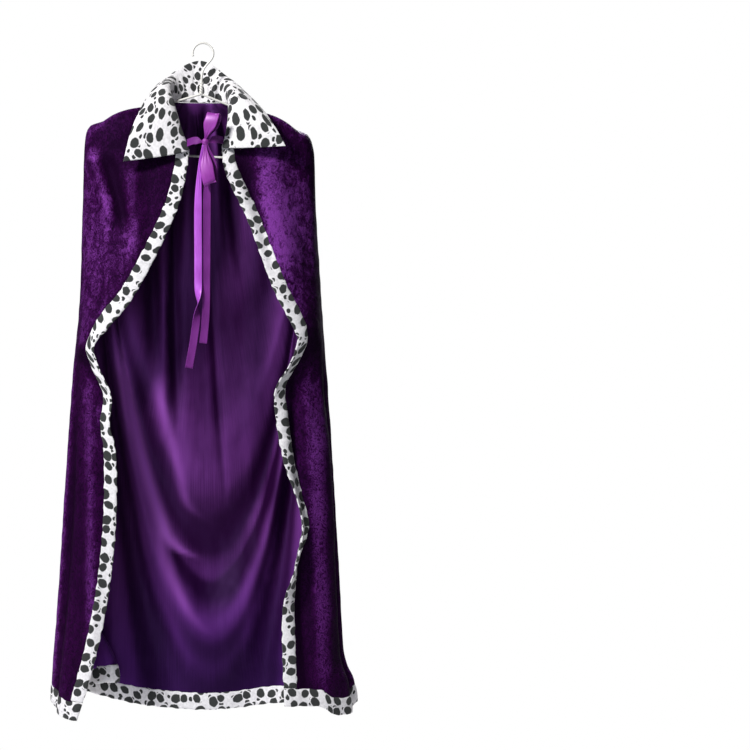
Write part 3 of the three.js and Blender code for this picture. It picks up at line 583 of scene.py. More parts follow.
# %% A material that makes its own nodes
class Finish:
    def __init__(self, name, **fixed):
        self.material = bpy.data.materials.new(name)
        self.material.use_nodes = True
        self.nodes = self.material.node_tree.nodes
        self.shader = self.nodes["Principled BSDF"]
        self.set(**fixed)

    def node(self, kind, settings=None, inputs=None, output=0):
        """Adds a shader node, sets it and feeds it, and gives one of its outputs."""
        made = self.nodes.new("ShaderNode" + kind)
        for name, value in (settings or {}).items():
            if name == "stops":
                self.set_stops(made.color_ramp, value)
            else:
                setattr(made, name, value)
        for key, value in (inputs or {}).items():
            self.feed(made.inputs[key], value)
        return Shade(self, made.outputs[output])

    def set_stops(self, ramp, stops):
        while len(ramp.elements) < len(stops):
            ramp.elements.new(1)
        for element, (place, colour) in zip(ramp.elements, stops):
            element.position = place
            element.color = (*colour, 1)

    def feed(self, socket, value):
        if isinstance(value, Shade):
            self.material.node_tree.links.new(value.socket, socket)
        elif isinstance(value, tuple) and len(value) == 3 and len(socket.default_value) == 4:
            socket.default_value = (*value, 1)
        else:
            socket.default_value = value

    def set(self, **sockets):
        """Feeds the shader's own sockets: base_color is its Base Color, and so on."""
        for name, value in sockets.items():
            title = name.replace("_", " ").title().replace("Ior", "IOR")
            self.feed(self.shader.inputs[title], value)

    def cut(self, scale=(1.0, 1.0, 1.0)):
        """The flat cloth's own map, scaled."""
        flat = self.node("UVMap", {"uv_map": "cut"})
        return self.node("Mapping", None, {"Vector": flat, "Scale": scale})

    def place(self, scale=(1.0, 1.0, 1.0)):
        """The object's own coordinates, scaled."""
        here = self.node("TexCoord", output=3)
        return self.node("Mapping", None, {"Vector": here, "Scale": scale})

    def painted(self, name):
        """A number that code has painted on the mesh."""
        return self.node("Attribute", {"attribute_name": name}, None, 2)

    def noise(self, vector, scale, detail=2.0, roughness=0.5, distortion=0.0):
        inputs = {"Vector": vector, "Scale": scale, "Detail": detail}
        inputs.update({"Roughness": roughness, "Distortion": distortion})
        return self.node("TexNoise", None, inputs)

    def fit(self, value, low, high, to_low=0.0, to_high=1.0):
        """Stretches low..high to another range, smoothly and without passing its ends."""
        inputs = {"Value": value, "From Min": low, "From Max": high}
        inputs.update({"To Min": to_low, "To Max": to_high})
        return self.node("MapRange", {"interpolation_type": "SMOOTHSTEP"}, inputs)

    def blend(self, factor, a, b):
        """Mixes two colours."""
        return self.node("Mix", {"data_type": "RGBA"}, {0: factor, 6: a, 7: b}, 2)

    def bump(self, height, distance, strength=1.0, normal=None):
        inputs = {"Height": height, "Distance": distance, "Strength": strength}
        if normal is not None:
            inputs["Normal"] = normal
        return self.node("Bump", None, inputs)


# %% [markdown]
# ## Crushed velvet, the right side
# The pile of crushed velvet is pressed down in random directions. Where it lies towards the
# light it shines lilac, and where it stands up it swallows the light. A painted picture of that
# would look dead when the cape turns, so the pattern tilts the surface as well as tinting it: a
# cloud of soft patches, a net of thin pressed creases, and the fine grain of the pile.

# %% Velvet for the outside
velvet = Finish("crushed_velvet", sheen_weight=0.01, sheen_roughness=0.4, specular_ior_level=0.1)
velvet.set(sheen_tint=(0.55, 0.12, 0.85), specular_tint=(0.6, 0.22, 1.0))
velvet_place = velvet.place((1.0, 1.0, 0.7))
velvet_patches = velvet.noise(velvet_place, 75, 4, 0.65, 0.8)
velvet_creases = velvet.noise(velvet_place, 150, 1.2, 0.5, 1.8)
velvet_pile = velvet.noise(velvet_place, 1400, 1)
crease_lines = 1 - velvet.fit(abs(velvet_creases - 0.5), 0.01, 0.07)
patch_light = velvet.fit(velvet_patches, 0.34, 0.68)
# Painted light and shade from the folds' height: lighter on the ridges, darker in the hollows
velvet_ridge_light_and_shade = velvet.fit(velvet.painted("ridge"), -7.0, 7.0, -0.26, 0.34)
# Painted light and shade by how each place faces a fixed light direction
velvet_facing_light = velvet.fit(velvet.painted("slope"), -0.35, 0.35, -0.34, 0.42)
velvet_light = patch_light * 0.26 + velvet_pile * 0.2 - crease_lines * 0.36 - 0.08
velvet_light = velvet_light + velvet_ridge_light_and_shade + velvet_facing_light
# Soft patches of painted light and shade on the fronts, broken up by the velvet's own patches
velvet_light = velvet_light + velvet.painted("nap") * (patch_light * 0.7 + 0.6)
velvet_stops = [
    (0.0, (0.006, 0.0002, 0.008)), (0.4, (0.026, 0.0014, 0.036)), (1.0, (0.17, 0.034, 0.26)),
]
velvet_colour = velvet.node("ValToRGB", {"stops": velvet_stops}, {"Fac": velvet_light})
velvet_height = patch_light * 0.4 - crease_lines * 0.5 + velvet_pile * 0.1
velvet.set(base_color=velvet_colour, normal=velvet.bump(velvet_height, 0.0016, 0.6))
velvet.set(roughness=velvet.fit(velvet_light, 0.1, 0.9, 0.62, 0.42))
print("Crushed velvet has", len(velvet.nodes), "nodes")

# %% [markdown]
# ## The wrong side
# Seen through the open front, the back of the velvet is a smooth knit with fine ribs that run
# down the cloth. It is a little bluer and darker near the hem, where less light gets in. The
# ribs follow the cloth's own map, not the world, because they were knitted before it was hung.

# %% Velvet for the inside
lining = Finish("velvet_wrong_side", roughness=0.46, sheen_weight=0.02, sheen_roughness=0.4)
lining.set(sheen_tint=(0.6, 0.35, 0.9), specular_ior_level=0.2, specular_tint=(0.6, 0.3, 1.0))
lining_ribs = lining.noise(lining.cut((620.0, 9.0, 1.0)), 1, 2, 0.6)
lining_soft = lining.noise(lining.cut((7.0, 3.0, 1.0)), 1, 3, 0.55, 0.4)
lining_grain = lining.noise(lining.cut(), 1800, 1)
lining_light = lining_ribs * 0.3 + lining_soft * 0.35 + lining_grain * 0.2
# Painted light and shade from the folds' height: darker in the hollows seen from the inside,
# lighter on its ridges
lining_fold_light_and_shade = lining.fit(lining.painted("ridge"), -7.0, 7.0, 0.2, -0.2)
# Painted light and shade by how each place faces a fixed light direction, turned round for the
# inside
lining_facing_light = lining.fit(lining.painted("slope"), -0.3, 0.3, 0.12, -0.12)
# Painted light and shade inside the back: along the swag lines, in soft patches, and along the
# creases
lining_swag_light = lining.painted("swag") * (lining_soft * 0.7 + lining_ribs * 0.5 + 0.45)
lining_tone = lining_swag_light + lining_light + lining_fold_light_and_shade + lining_facing_light - 0.07
lining_tone = lining.fit(lining_tone, 0.0, 1.0)
lining_deep = lining.blend(lining_tone, (0.013, 0.0008, 0.02), (0.15, 0.034, 0.225))
lining_height = lining.node("SeparateXYZ", None, {0: lining.place()}, 2)
lining_low = lining.fit(lining_height, -1.2, -0.85, 1.0, 0.0)
lining_blue = lining.blend(lining_tone, (0.006, 0.0003, 0.018), (0.07, 0.013, 0.17))
lining_colour = lining.blend(lining_low * 0.8, lining_deep, lining_blue)
# A painted highlight along the long creases inside the back
lining_colour = lining.blend(lining.painted("crease") * 0.85, lining_colour, (0.45, 0.13, 0.65))
lining.set(base_color=lining_colour, normal=lining.bump(lining_light, 0.0006, 0.5))

# %% [markdown]
# ## Spotted plush
# The plush is white with printed dark spots: large ovals about 16 mm long, no two alike, with a
# few small ones between. A Voronoi texture gives each spot a cell of its own. Inside a cell, the
# distance from its centre, turned and squeezed by the cell's own random colour, draws an oval.

# %% Plush with printed spots
LARGE_CELLS, SMALL_CELLS = 43.0, 84.0
OVAL_SQUEEZE, FULL_TURN = 1.25, 6.28
PRINT_WOBBLE = 0.16

plush = Finish("spotted_plush", sheen_weight=0.25, sheen_roughness=0.5, specular_ior_level=0.2)
plush_cut = plush.cut()
plush_wobble = plush.noise(plush_cut, 150, 1)


def oval_spots(cells_per_metre, randomness, small, large, shift):
    """Ink from 0 to 1 for one size of spot."""
    moved = plush.node("Mapping", None, {
        "Vector": plush_cut, "Scale": (cells_per_metre,) * 3, "Location": (shift, shift * 0.7, 0),
    })
    cell_inputs = {"Vector": moved, "Scale": 1.0, "Randomness": randomness}
    settings = {"voronoi_dimensions": "2D"}
    chance = plush.node("TexVoronoi", settings, cell_inputs, 1)
    centre = Shade(plush, chance.socket.node.outputs["Position"])
    chances = plush.node("SeparateColor", None, {0: chance})
    second = Shade(plush, chances.socket.node.outputs[1])
    third = Shade(plush, chances.socket.node.outputs[2])
    away = plush.node("VectorMath", {"operation": "SUBTRACT"}, {0: moved, 1: centre})
    turn = {"Vector": away, "Angle": chances * FULL_TURN}
    turned = plush.node("VectorRotate", {"rotation_type": "Z_AXIS"}, turn)
    squeeze = {0: turned, 1: (1.0, OVAL_SQUEEZE, 0)}
    squeezed = plush.node("VectorMath", {"operation": "MULTIPLY"}, squeeze)
    reach = plush.node("VectorMath", {"operation": "LENGTH"}, {0: squeezed}, 1)
    radius = small + second * (large - small)
    edge = reach + (plush_wobble - 0.5) * PRINT_WOBBLE - radius
    return 1 - plush.fit(edge, -0.03, 0.035), third


large_ink, _ = oval_spots(LARGE_CELLS, 0.45, 0.33, 0.44, 0.0)
small_ink, small_chance = oval_spots(SMALL_CELLS, 0.8, 0.28, 0.42, 3.7)
large_near, _ = oval_spots(LARGE_CELLS, 0.45, 0.43, 0.54, 0.0)
small_ink = small_ink * (small_chance > 0.52) * (1 - large_near)
spot_ink = plush.node("Math", {"operation": "MAXIMUM"}, {0: large_ink, 1: small_ink})
plush_pile = plush.noise(plush_cut, 900, 3, 0.7)
plush_tufts = plush.noise(plush_cut, 190, 2, 0.6)
plush_lift = plush.fit(plush_tufts, 0.3, 0.7)
plush_white = plush.blend(plush_lift, (0.66, 0.645, 0.67), (0.8, 0.785, 0.81))
plush_dark = plush.blend(plush_pile, (0.012, 0.013, 0.014), (0.045, 0.048, 0.048))
plush.set(base_color=plush.blend(spot_ink, plush_white, plush_dark), roughness=0.9)
plush.set(normal=plush.bump(plush_pile * 0.5 + plush_tufts * 0.5, 0.0014, 0.6))
print("Spotted plush has", len(plush.nodes), "nodes")

# %% [markdown]
# ## Satin ribbon and coated wire
# Satin is smooth along its long floating threads, so its highlights are bright and drawn out. It
# gets a low roughness with fine threads across it. The wire is dipped in pale plastic, which
# dulls it evenly, with faint rubbed marks where other hangers have touched it.

# %% Satin and wire
def ribbon_side(name, deep, bright, dull):
    """One side of the ribbon: the shiny face, in a lit or a shaded copy, or the duller back."""
    side = Finish(name, anisotropic=0.4, specular_ior_level=0.9 - 0.6 * dull)
    side.set(specular_tint=(0.9, 0.55, 1.0))
    threads = side.noise(side.cut((1400.0, 60.0, 1.0)), 1, 2, 0.6)
    clouds = side.noise(side.cut((30.0, 18.0, 1.0)), 1, 2)
    light = threads * 0.45 + clouds * 0.55
    side.set(base_color=side.blend(side.fit(light, 0.3, 0.7), deep, bright))
    side.set(roughness=side.fit(light, 0.3, 0.7, 0.38, 0.28) + 0.2 * dull)
    side.set(normal=side.bump(light, 0.0003, 0.4))
    return side


# Two copies of the same satin face: a lighter one with painted light for the tail that faces the
# lamp, and a darker one with painted shade for the rest
satin = ribbon_side("ribbon_satin_lit_face", (0.34, 0.055, 0.48), (0.5, 0.12, 0.7), 0.0)
satin_shaded = ribbon_side("ribbon_satin_shaded", (0.17, 0.014, 0.2), (0.3, 0.045, 0.37), 0.3)
satin_back = ribbon_side("ribbon_satin_back", (0.1, 0.012, 0.13), (0.17, 0.024, 0.22), 1.0)

wire_coat = Finish("coated_wire", coat_roughness=0.3, specular_ior_level=0.5)
wire_spots = wire_coat.noise(wire_coat.place(), 260, 4, 0.65)
wire_rubs = wire_coat.fit(wire_spots, 0.62, 0.7)
wire_coat.set(base_color=wire_coat.blend(wire_rubs * 0.7, (0.7, 0.69, 0.66), (0.4, 0.39, 0.37)))
wire_coat.set(roughness=wire_rubs * 0.2 + 0.3, normal=wire_coat.bump(wire_spots, 0.0002, 0.3))

# %% [markdown]
# ## The velvet body
# The body is a grid of about forty thousand cells. On top of the main folds it gets the finer
# ones that a coarse solid can't carry: the gathers that fan out from the neck seam, soft waves
# that run down the cloth, small dents from the crush, and the long creases inside the back. They
# fade out at the seams, so that the trims still meet the cloth.

# %% Sizes of the velvet and its relief, in millimetres
BODY_GRID = (240, 180)
TUCK = 4.0

# The size of the flat cloth's map, and a rough laid size that tells how far the edges are
CUT_WIDTH, CUT_HEIGHT = 1120, 1110
LAID_WIDTH, LAID_HEIGHT = 900, 1050

# How far each kind of fine fold stands out
GATHER, WAVE, DENT, CREASE = 1.1, 2.0, 0.8, 4.0

# Creases inside the back: their line (drop, x), their half width, and their strength
INSIDE_CREASES = [
    ([(526, -155), (661, -131), (784, -101), (880, -70), (931, -38), (957, 20)], 15, 0.55),
    ([(857, -90), (962, -59), (1041, -22), (1084, 15), (1095, 39)], 14, 0.34),
    ([(560, -82), (637, -75), (692, -60), (780, -38), (852, -17), (889, 30)], 12, 0.28),
]


# %% Fine relief of the velvet
def cloud(points, scale, seed):
    """Smooth noise from -1 to 1 at points in millimetres, the same on every run."""
    shift = Vector((seed * 17.3, seed * 5.1, seed * 9.7))
    return np.array([noise.noise(Vector(p) * scale + shift) for p in points.tolist()])


def on_creases(x, drop):
    """How strong the long creases inside the back are at a place."""
    total = 0
    for rows, half, strength in INSIDE_CREASES:
        line = np.array(rows, float)
        (begins, _), (ends, ends_x) = line[0], line[-1]
        there = ease(begins - 20, begins + 80, drop) * (1 - ease(ends - 15, ends + 25, drop))
        there = there * (1 - ease(ends_x - 90, ends_x + 5, x))
        total = total + strength * there * bell((x - read(line, 1, drop)) / half)
    return total


def velvet_relief(points, around, down, from_edge):
    """How far the fine folds carry the velvet out. They fade at its edges."""
    drop = -points[:, 2]
    reach = np.abs(around)
    gather = np.sin(around * 62 + 1.5 * np.sin(around * 9)) + 0.6 * np.sin(around * 103 + 2)
    gathers = GATHER * gather * ease(0.08, 0.5, down) * (1 - ease(250, 480, drop))
    gathers = gathers * (1 - ease(0.72, 0.92, reach))
    waves = WAVE * cloud(points * [1, 1, 0.07], 0.034, 1)
    dents = DENT * cloud(points * [1, 1, 0.6], 0.075, 2)
    creases = -CREASE * on_creases(points[:, 0], drop) * (1 - ease(0.85, 1, reach))
    hanging = ease(0.95, 1.25, down)
    return (gathers + creases + (waves + dents) * hanging) * ease(0, 22, from_edge)


# %% Where the velvet's vertices lie
def velvet_at(u, v):
    """The velvet's main form, its normals, and the fine relief on it."""
    rough = row_down(v, column_around(u, -2.0, 2.0))
    left, right = [seam_at(side, rough, FRONT_TRIM - TUCK) for side in (-1, 1)]
    around = column_around(u, -left, right)
    down = row_down(v, around, -TUCK)
    points = cape_point(around, down)
    normals = normals_of(cape_point, around, down, 2)
    from_edge = np.minimum(np.minimum(u, 1 - u) * LAID_WIDTH, (1 - v) * LAID_HEIGHT)
    return around, points, normals, velvet_relief(points, around, down, from_edge)


def lay_velvet(u, v):
    _, points, normals, relief = velvet_at(u, v)
    return points + normals * relief[:, None], np.stack([u * CUT_WIDTH, v * CUT_HEIGHT], -1)


# %% [markdown]
# ## Painted light on the folds
# Light and shade are painted on the folds as well as shaped: painted highlights on the ridges and
# painted shade in the hollows, lighter or darker by how each place faces a fixed light direction,
# painted light and shade along the swags inside, painted highlights along its creases, and soft
# patches of painted light and shade. The fold functions know where those are, so they are worked
# out once for each vertex and kept on the mesh as plain numbers, which the two materials add to
# their own patterns.

# %% Swags and patches of painted light, in millimetres
# The fixed direction of the painted light, and how many rounds blur its facing
LIGHT_FROM = np.array([-0.4, -0.4, 0.82])
FACING_LIGHT_ROUNDS = 420

# Painted light and shade on the inside along the swags: the lowest drop of a swag line, and its
# light
SWAG_LIGHT = np.array([
    (400, 0), (560, 0.04), (640, -0.04), (690, -0.13), (750, -0.1), (790, 0.12), (830, 0.26),
    (860, 0.2), (880, 0.06), (903, -0.06), (931, -0.14), (950, 0.06), (968, 0.2), (985, 0.18),
    (1005, -0.28), (1040, -0.3), (1069, -0.06), (1094, -0.14), (1118, -0.34), (1160, -0.14),
    (1240, 0.02), (1400, -0.12), (1700, 0.08), (2300, -0.12), (3200, 0.1),
], float)

# Patches of painted light and shade: their x, drop, half width, half height and light, inside the
# back and on the fronts
INSIDE_GLOW = [
    (-136, 560, 24, 120, 0.25), (137, 820, 24, 55, -0.3), (137, 960, 26, 50, 0.22),
    (92, 935, 34, 45, -0.22), (94, 1045, 36, 55, 0.22), (62, 1000, 22, 50, -0.3),
]
FRONT_GLOW = [
    (150, 340, 60, 150, 0.52), (80, 265, 16, 80, -0.25), (-118, 232, 42, 55, -0.12),
    (-180, 380, 24, 80, 0.22), (-166, 300, 10, 50, 0.4), (-135, 390, 14, 40, 0.25),
    (225, 1030, 34, 260, -0.32), (-215, 900, 34, 300, -0.17),
]


# %% Work out the painted light of the folds
def glow(patches, x, drop):
    """The painted light and shade of a table of soft patches at a place."""
    total = 0
    for at_x, at_drop, half_x, half_drop, light in patches:
        total = total + light * bell((x - at_x) / half_x) * bell((drop - at_drop) / half_drop)
    return total


def smoothed(grid, rounds):
    """A grid of numbers, blurred again and again along both of its ways."""
    for _ in range(rounds):
        down = np.pad(grid, ((1, 1), (0, 0)), "reflect", reflect_type="odd")
        grid = (down[:-2] + 2 * grid + down[2:]) / 4
        across = np.pad(grid, ((0, 0), (1, 1)), "reflect", reflect_type="odd")
        grid = (across[:, :-2] + 2 * grid + across[:, 2:]) / 4
    return grid


def fold_light(columns, rows):
    """Numbers for each vertex: the folds' height, and the painted light and shade of each kind of
    fold there.
    """
    ways = np.meshgrid(np.linspace(0, 1, columns + 1), np.linspace(0, 1, rows + 1))
    around, points, normals, relief = velvet_at(*[way.ravel() for way in ways])
    x, drop = points[:, 0], -points[:, 2]
    facing = (normals @ LIGHT_FROM).reshape(rows + 1, columns + 1)
    bottom, rise = swag_line(x, drop, side_reach(around, drop), corner_drop(around))
    # Painted light and shade along the swag lines inside the back
    swag = read(SWAG_LIGHT, 1, bottom) * (1 - rise) ** 0.35 * ease(330, 560, drop)
    creases = on_creases(x, drop)
    return {
        # The folds' height, which the materials turn into painted light and shade
        "ridge": folds_out(around, drop, x) + relief,
        # Painted light: how each place faces the fixed light direction, less its blurred mean
        "slope": facing - smoothed(facing, FACING_LIGHT_ROUNDS),
        # Painted light and shade inside the back
        "swag": swag * ease(-90, 10, x) + glow(INSIDE_GLOW, x, drop) + creases,
        # Soft patches of painted light and shade on the fronts
        "nap": glow(FRONT_GLOW, x, drop) * ease(5, -10, points[:, 1]),
        # A painted highlight along the creases inside the back
        "crease": 3.3 * creases**2,
    }


# %% [markdown]
# ## Lay the velvet
# The laid grid has no thickness yet, so its area is the real cloth's. A Solidify modifier then
# gives it a wall, and its inner side the material of the wrong side.

# %% Lay it, paint it and give it its wall
body = lay_grid("velvet_cloth", *BODY_GRID, lay_velvet)
for name, values in fold_light(*BODY_GRID).items():
    layer = body.data.attributes.new(name, "FLOAT", "POINT")
    layer.data.foreach_set("value", values.ravel())
    print(name, "from", *np.percentile(values, [2, 50, 98]).round(2))
add_wall(body, VELVET)
dress(body, "velvet", [velvet.material, lining.material], "velvet_body")

# %% [markdown]
# ## Plush trims
# Each trim is a strip folded over the velvet's raw edge, so it is thick in the middle and round
# at both edges, and the fold puckers a little. A flat grid is rolled into a tube for it: one lap
# of the tube goes over the front and back again behind. The map goes once round with it, so the
# spots run over the fold unbroken.

# %% Roll a strip of plush
TRIM_HALF = 2.1
TRIM_LAP = 22
TRIM_END = 0.02


def ripple(along, wavelength, seed):
    """A gentle uneven wave along a seam."""
    phase = along * 2 * np.pi / wavelength
    return 0.6 * np.sin(phase + seed) + 0.4 * np.sin(phase * 1.71 + 2.3 * seed)


def roll_strip(name, place, rows, width):
    """place(across, along) gives "around" and "down" of a strip's middle surface."""

    def lay(u, v):
        angle = u * 2 * np.pi
        across = 0.5 - 0.5 * np.cos(angle)
        levels, which = np.unique(v, return_inverse=True)
        centre = cape_point(*place(np.full_like(levels, 0.5), levels))
        walked_to = walked(centre)
        along = walked_to[which]
        around, down = place(across, v)
        points = cape_point(around, down)
        normals = normals_of(cape_point, around, down, 2)
        ends = np.minimum(along, walked_to[-1] - along)
        puff = TRIM_HALF * (1 + 0.16 * ripple(along, 23, 1)) * (0.45 + 0.55 * ease(0, 6, ends))
        lift = np.sign(np.sin(angle)) * np.abs(np.sin(angle)) ** 0.62 * puff
        lift = lift + 0.45 * ripple(along, 41, 3) * np.sin(np.pi * across)
        a = cape_point(*place(np.minimum(1, across + 0.02), v))
        b = cape_point(*place(np.maximum(0, across - 0.02), v))
        sideways = unit(a - b) * ((across - 0.5) * 1.7 * ripple(along, 31, 5))[:, None]
        flat_across = np.where(u < 0.5, across, 2 - across) * width
        return points + normals * lift[:, None] + sideways, np.stack([flat_across, along], -1)

    piece = lay_grid(name, TRIM_LAP, rows, lay)
    close_tube(piece)
    return piece


# %% The two front trims and the hem's
def front_place(side):
    """Gives the place function of one front edge's trim."""
    def place(across, along):
        down = row_down(along, np.full_like(along, side * 2.0), 1.0)
        around = side * mix(seam_at(side, down, FRONT_TRIM), 2.0, across)
        return around, row_down(along, around, 1.0)

    return place


def hem_place(across, along):
    """The hem's trim goes from one front edge round to the other, below their trims."""
    left, right = [seam_at(side, 1.97, FRONT_TRIM) for side in (-1, 1)]
    inner = column_around(np.clip((along - TRIM_END) / (1 - 2 * TRIM_END), 0, 1), -left, right)
    around = np.where(along < TRIM_END, mix(-2, -left, along / TRIM_END), inner)
    last = mix(right, 2, (along - 1 + TRIM_END) / TRIM_END)
    around = np.where(along > 1 - TRIM_END, last, around)
    return around, mix(trim_top(around, HEM_TRIM), 2, across)


# Each strip's place, its rows along the seam, and its width
TRIMS = {
    "trim_front_left": (front_place(-1), 420, FRONT_TRIM),
    "trim_front_right": (front_place(1), 420, FRONT_TRIM),
    "trim_hem": (hem_place, 620, HEM_TRIM),
}
for name, (place, rows, width) in TRIMS.items():
    trim = roll_strip(name + "_plush", place, rows, width)
    dress(trim, "plush", [plush.material], name)
    print(trim.name, round(surface_area(trim), 4), "square metres, both sides")

# %% [markdown]
# ## The collar
# The collar stands up behind the neck and rolls over into two long points. It is two layers of
# the same plush, sewn and turned, so its edge is a soft fold. The tight curve behind the neck
# wrinkles it a little.

# %% The collar's surface and its piece
def collar_point(around, out):
    around, out = np.broadcast_arrays(np.asarray(around, float), np.asarray(out, float))
    seam = neck_point(around)
    seam[..., 2] += SEAM_GAP + 1.3 * np.minimum(1, np.abs(around))
    seam[..., 1] -= 2.6 * np.clip(3 * (np.abs(around) - 1), 0, 1)
    x, y, drop, edge_x, edge_y, edge_drop = [read(COLLAR, k, around) for k in range(1, 7)]
    roll, edge = np.stack([x, y, -drop], -1), np.stack([edge_x, edge_y, -edge_drop], -1)
    return bend(seam, roll, edge, out[..., None])


RULE_STEPS = 24
COLLAR_HALF = 2.0
COLLAR_GRID = (56, 260)


def unroll(seam, edge, reach):
    """Lays the collar's fan of rules flat: its outer edge is longer than its seam."""
    seam_steps = length(np.diff(seam, axis=0))[:, 0]
    rules = unit(edge - seam)
    edge_steps = np.diff(edge, axis=0)
    along_rule = (edge_steps * rules[1:]).sum(-1, keepdims=True) * rules[1:]
    fan = (length(edge_steps - along_rule)[:, 0] - seam_steps) / reach[1:]
    turn = -np.concatenate([[0], np.cumsum(fan)])
    steps = np.stack([np.cos(turn[1:]), np.sin(turn[1:])], -1) * seam_steps[:, None]
    base = np.concatenate([[[0, 0]], np.cumsum(steps, 0)])
    return base, np.stack([-np.sin(turn), np.cos(turn)], -1)


def lay_collar(u, v):
    angle = u * 2 * np.pi
    out = 0.5 - 0.5 * np.cos(angle)
    around = mix(-2, 2, v)
    points = collar_point(around, out)
    normals = normals_of(collar_point, around, out, 1)
    levels, which = np.unique(v, return_inverse=True)
    at = mix(-2, 2, levels)
    rules = collar_point(at[:, None], np.linspace(0, 1, RULE_STEPS + 1)[None, :])
    far = walked(rules)
    middle = walked(rules[:, RULE_STEPS // 2])
    along = middle[which]
    ends = np.minimum(along, middle[-1] - along)
    puff = COLLAR_HALF * (0.4 + 0.6 * ease(0, 8, ends)) * (0.75 + 0.35 * np.sin(np.pi * out))
    lift = np.sign(np.sin(angle)) * np.abs(np.sin(angle)) ** 0.55 * puff
    wrinkles = bell(around / 0.9) * (1 - ease(0.35, 0.95, out)) * ease(0, 0.15, out)
    lift = lift + 1.1 * wrinkles * ripple(along, 17, 2) + 0.6 * ripple(along, 63, 4) * out
    base, rule = unroll(rules[:, 0], rules[:, -1], far[:, -1])
    place = out * RULE_STEPS
    low = np.minimum(place.astype(int), RULE_STEPS - 1)
    distance = mix(far[which, low], far[which, low + 1], place - low)
    return points + normals * lift[:, None], base[which] + rule[which] * distance[:, None]


# %% Lay the collar
collar = lay_grid("collar_plush", *COLLAR_GRID, lay_collar)
close_tube(collar)
dress(collar, "plush", [plush.material], "collar")
print("Collar:", round(surface_area(collar), 4), "square metres, both sides")

# %% [markdown]
# ## The ribbon bow
# Two ribbons come from the collar's ends and are tied in a small lopsided bow. A ribbon is a long
# narrow grid laid along a curve, with its width turned the way the loop shows its broad side. It
# is pinched where it enters the knot, and it cups slightly, as pressed satin does.

# %% A ribbon along a line, in millimetres
RIBBON_COLUMNS, RIBBON_ROWS = 14, 110
SATIN = 0.6
CUP = 0.6
PINCH = 0.3
TAIL_WIDTH, LOOP_WIDTH, PINCHED = 14, 24, 5


def smooth_line(points, steps):
    """Evenly spaced points on a curve through a few given ones."""
    given = np.array(points, float)
    knots = np.concatenate([[0], np.cumsum(np.sqrt(length(np.diff(given, axis=0))[:, 0]))])
    fine = np.linspace(0, knots[-1], 400)
    curve = np.stack([read(np.stack([knots, given[:, k]], -1), 1, fine) for k in range(3)], -1)
    far = walked(curve)
    even = np.linspace(0, far[-1], steps)
    return np.stack([np.interp(even, far, curve[:, k]) for k in range(3)], -1), far[-1]


def ribbon(name, line, across, width, start, end):
    """across(f) gives the way of the ribbon's width at a share f of its length."""
    middle, long = smooth_line(line, RIBBON_ROWS + 1)
    shares = np.linspace(0, 1, RIBBON_ROWS + 1)
    tangent = unit(np.gradient(middle, axis=0))
    sides = np.array([across(f) for f in shares], float)
    sides = unit(sides - tangent * (sides * tangent).sum(-1, keepdims=True))
    outs = unit(np.cross(tangent, sides))
    open_start = mix(start, width, ease(0, PINCH, shares))
    open_end = mix(end, width, ease(0, PINCH, 1 - shares))
    widths = np.minimum(open_start, open_end)

    def lay(u, v):
        row = np.rint(v * RIBBON_ROWS).astype(int)
        off = (u - 0.5) * widths[row]
        squeezed = 1 - widths[row] / width
        curl = CUP * (4 * (u - 0.5) ** 2 - 0.5)
        curl = curl + squeezed * 1.2 * np.cos(u * 3 * np.pi * 2)
        points = middle[row] + sides[row] * off[:, None] + outs[row] * curl[:, None]
        return points, np.stack([(u - 0.5) * width, v * long], -1)

    piece = lay_grid(name, RIBBON_COLUMNS, RIBBON_ROWS, lay)
    add_wall(piece, SATIN)
    return piece, long


# %% The loops, the tails and the ties
def from_knot(*places):
    """Places measured from the knot."""
    return [tuple(KNOT + Vector(place)) for place in places]


def fixed(x, y, z):
    """The width keeps its way along the whole ribbon."""
    return lambda f: (x, y, z)


def tail_turn(f):
    """The width turns over once, low on the tail."""
    turn = np.pi * (1 - float(ease(0.6, 0.82, f)))
    return np.cos(turn), np.sin(turn), 0


def tie_line(side):
    root = collar_point(side * 1.9, 0.1) + [-side * 3, 0, 0]
    end = np.array(from_knot((side * 7.4, 0, 0))[0])
    return [root, (root + end) / 2 + [0, -3, 3], end]


# Each ribbon's line, the way of its width, its width, and its widths at the start and the end
RIBBONS = {
    "bow_loop_up": (
        from_knot((0, -2.5, 5), (5, -7, 22), (11, -8, 40), (15, -4, 51), (17, 1, 42),
                  (9, 3, 22), (2, 2, 5)),
        fixed(0.95, -0.25, -0.2), LOOP_WIDTH, PINCHED, PINCHED,
    ),
    "bow_loop_down": (
        from_knot((0, -2.5, -5), (1, -8, -30), (4, -13, -58), (7, -13, -72), (9, -8, -77),
                  (10, -4, -70), (9, -3, -34), (2, -2, -5)),
        fixed(-0.88, 0.05, -0.47), LOOP_WIDTH, PINCHED, PINCHED,
    ),
    "tie_tail_left": (
        from_knot((-3, 2, -5), (-9, 3, -40), (-13, 3, -110), (-13, 4, -220), (-14, 4, -300),
                  (-21, 3, -360), (-30, 3, -412)),
        tail_turn, TAIL_WIDTH, PINCHED, TAIL_WIDTH,
    ),
    "tie_tail_right": (
        from_knot((3, 2, -5), (4, 5, -40), (3, 6, -110), (2, 7, -230), (1, 7, -310),
                  (-4, 6, -367)),
        fixed(1, 0, 0), TAIL_WIDTH, PINCHED, TAIL_WIDTH,
    ),
    "tie_left": (tie_line(-1), fixed(0, 0.25, 1), TAIL_WIDTH, TAIL_WIDTH, PINCHED),
    "tie_right": (tie_line(1), fixed(0, -0.25, -1), TAIL_WIDTH, TAIL_WIDTH, PINCHED),
}
ribbons = {}
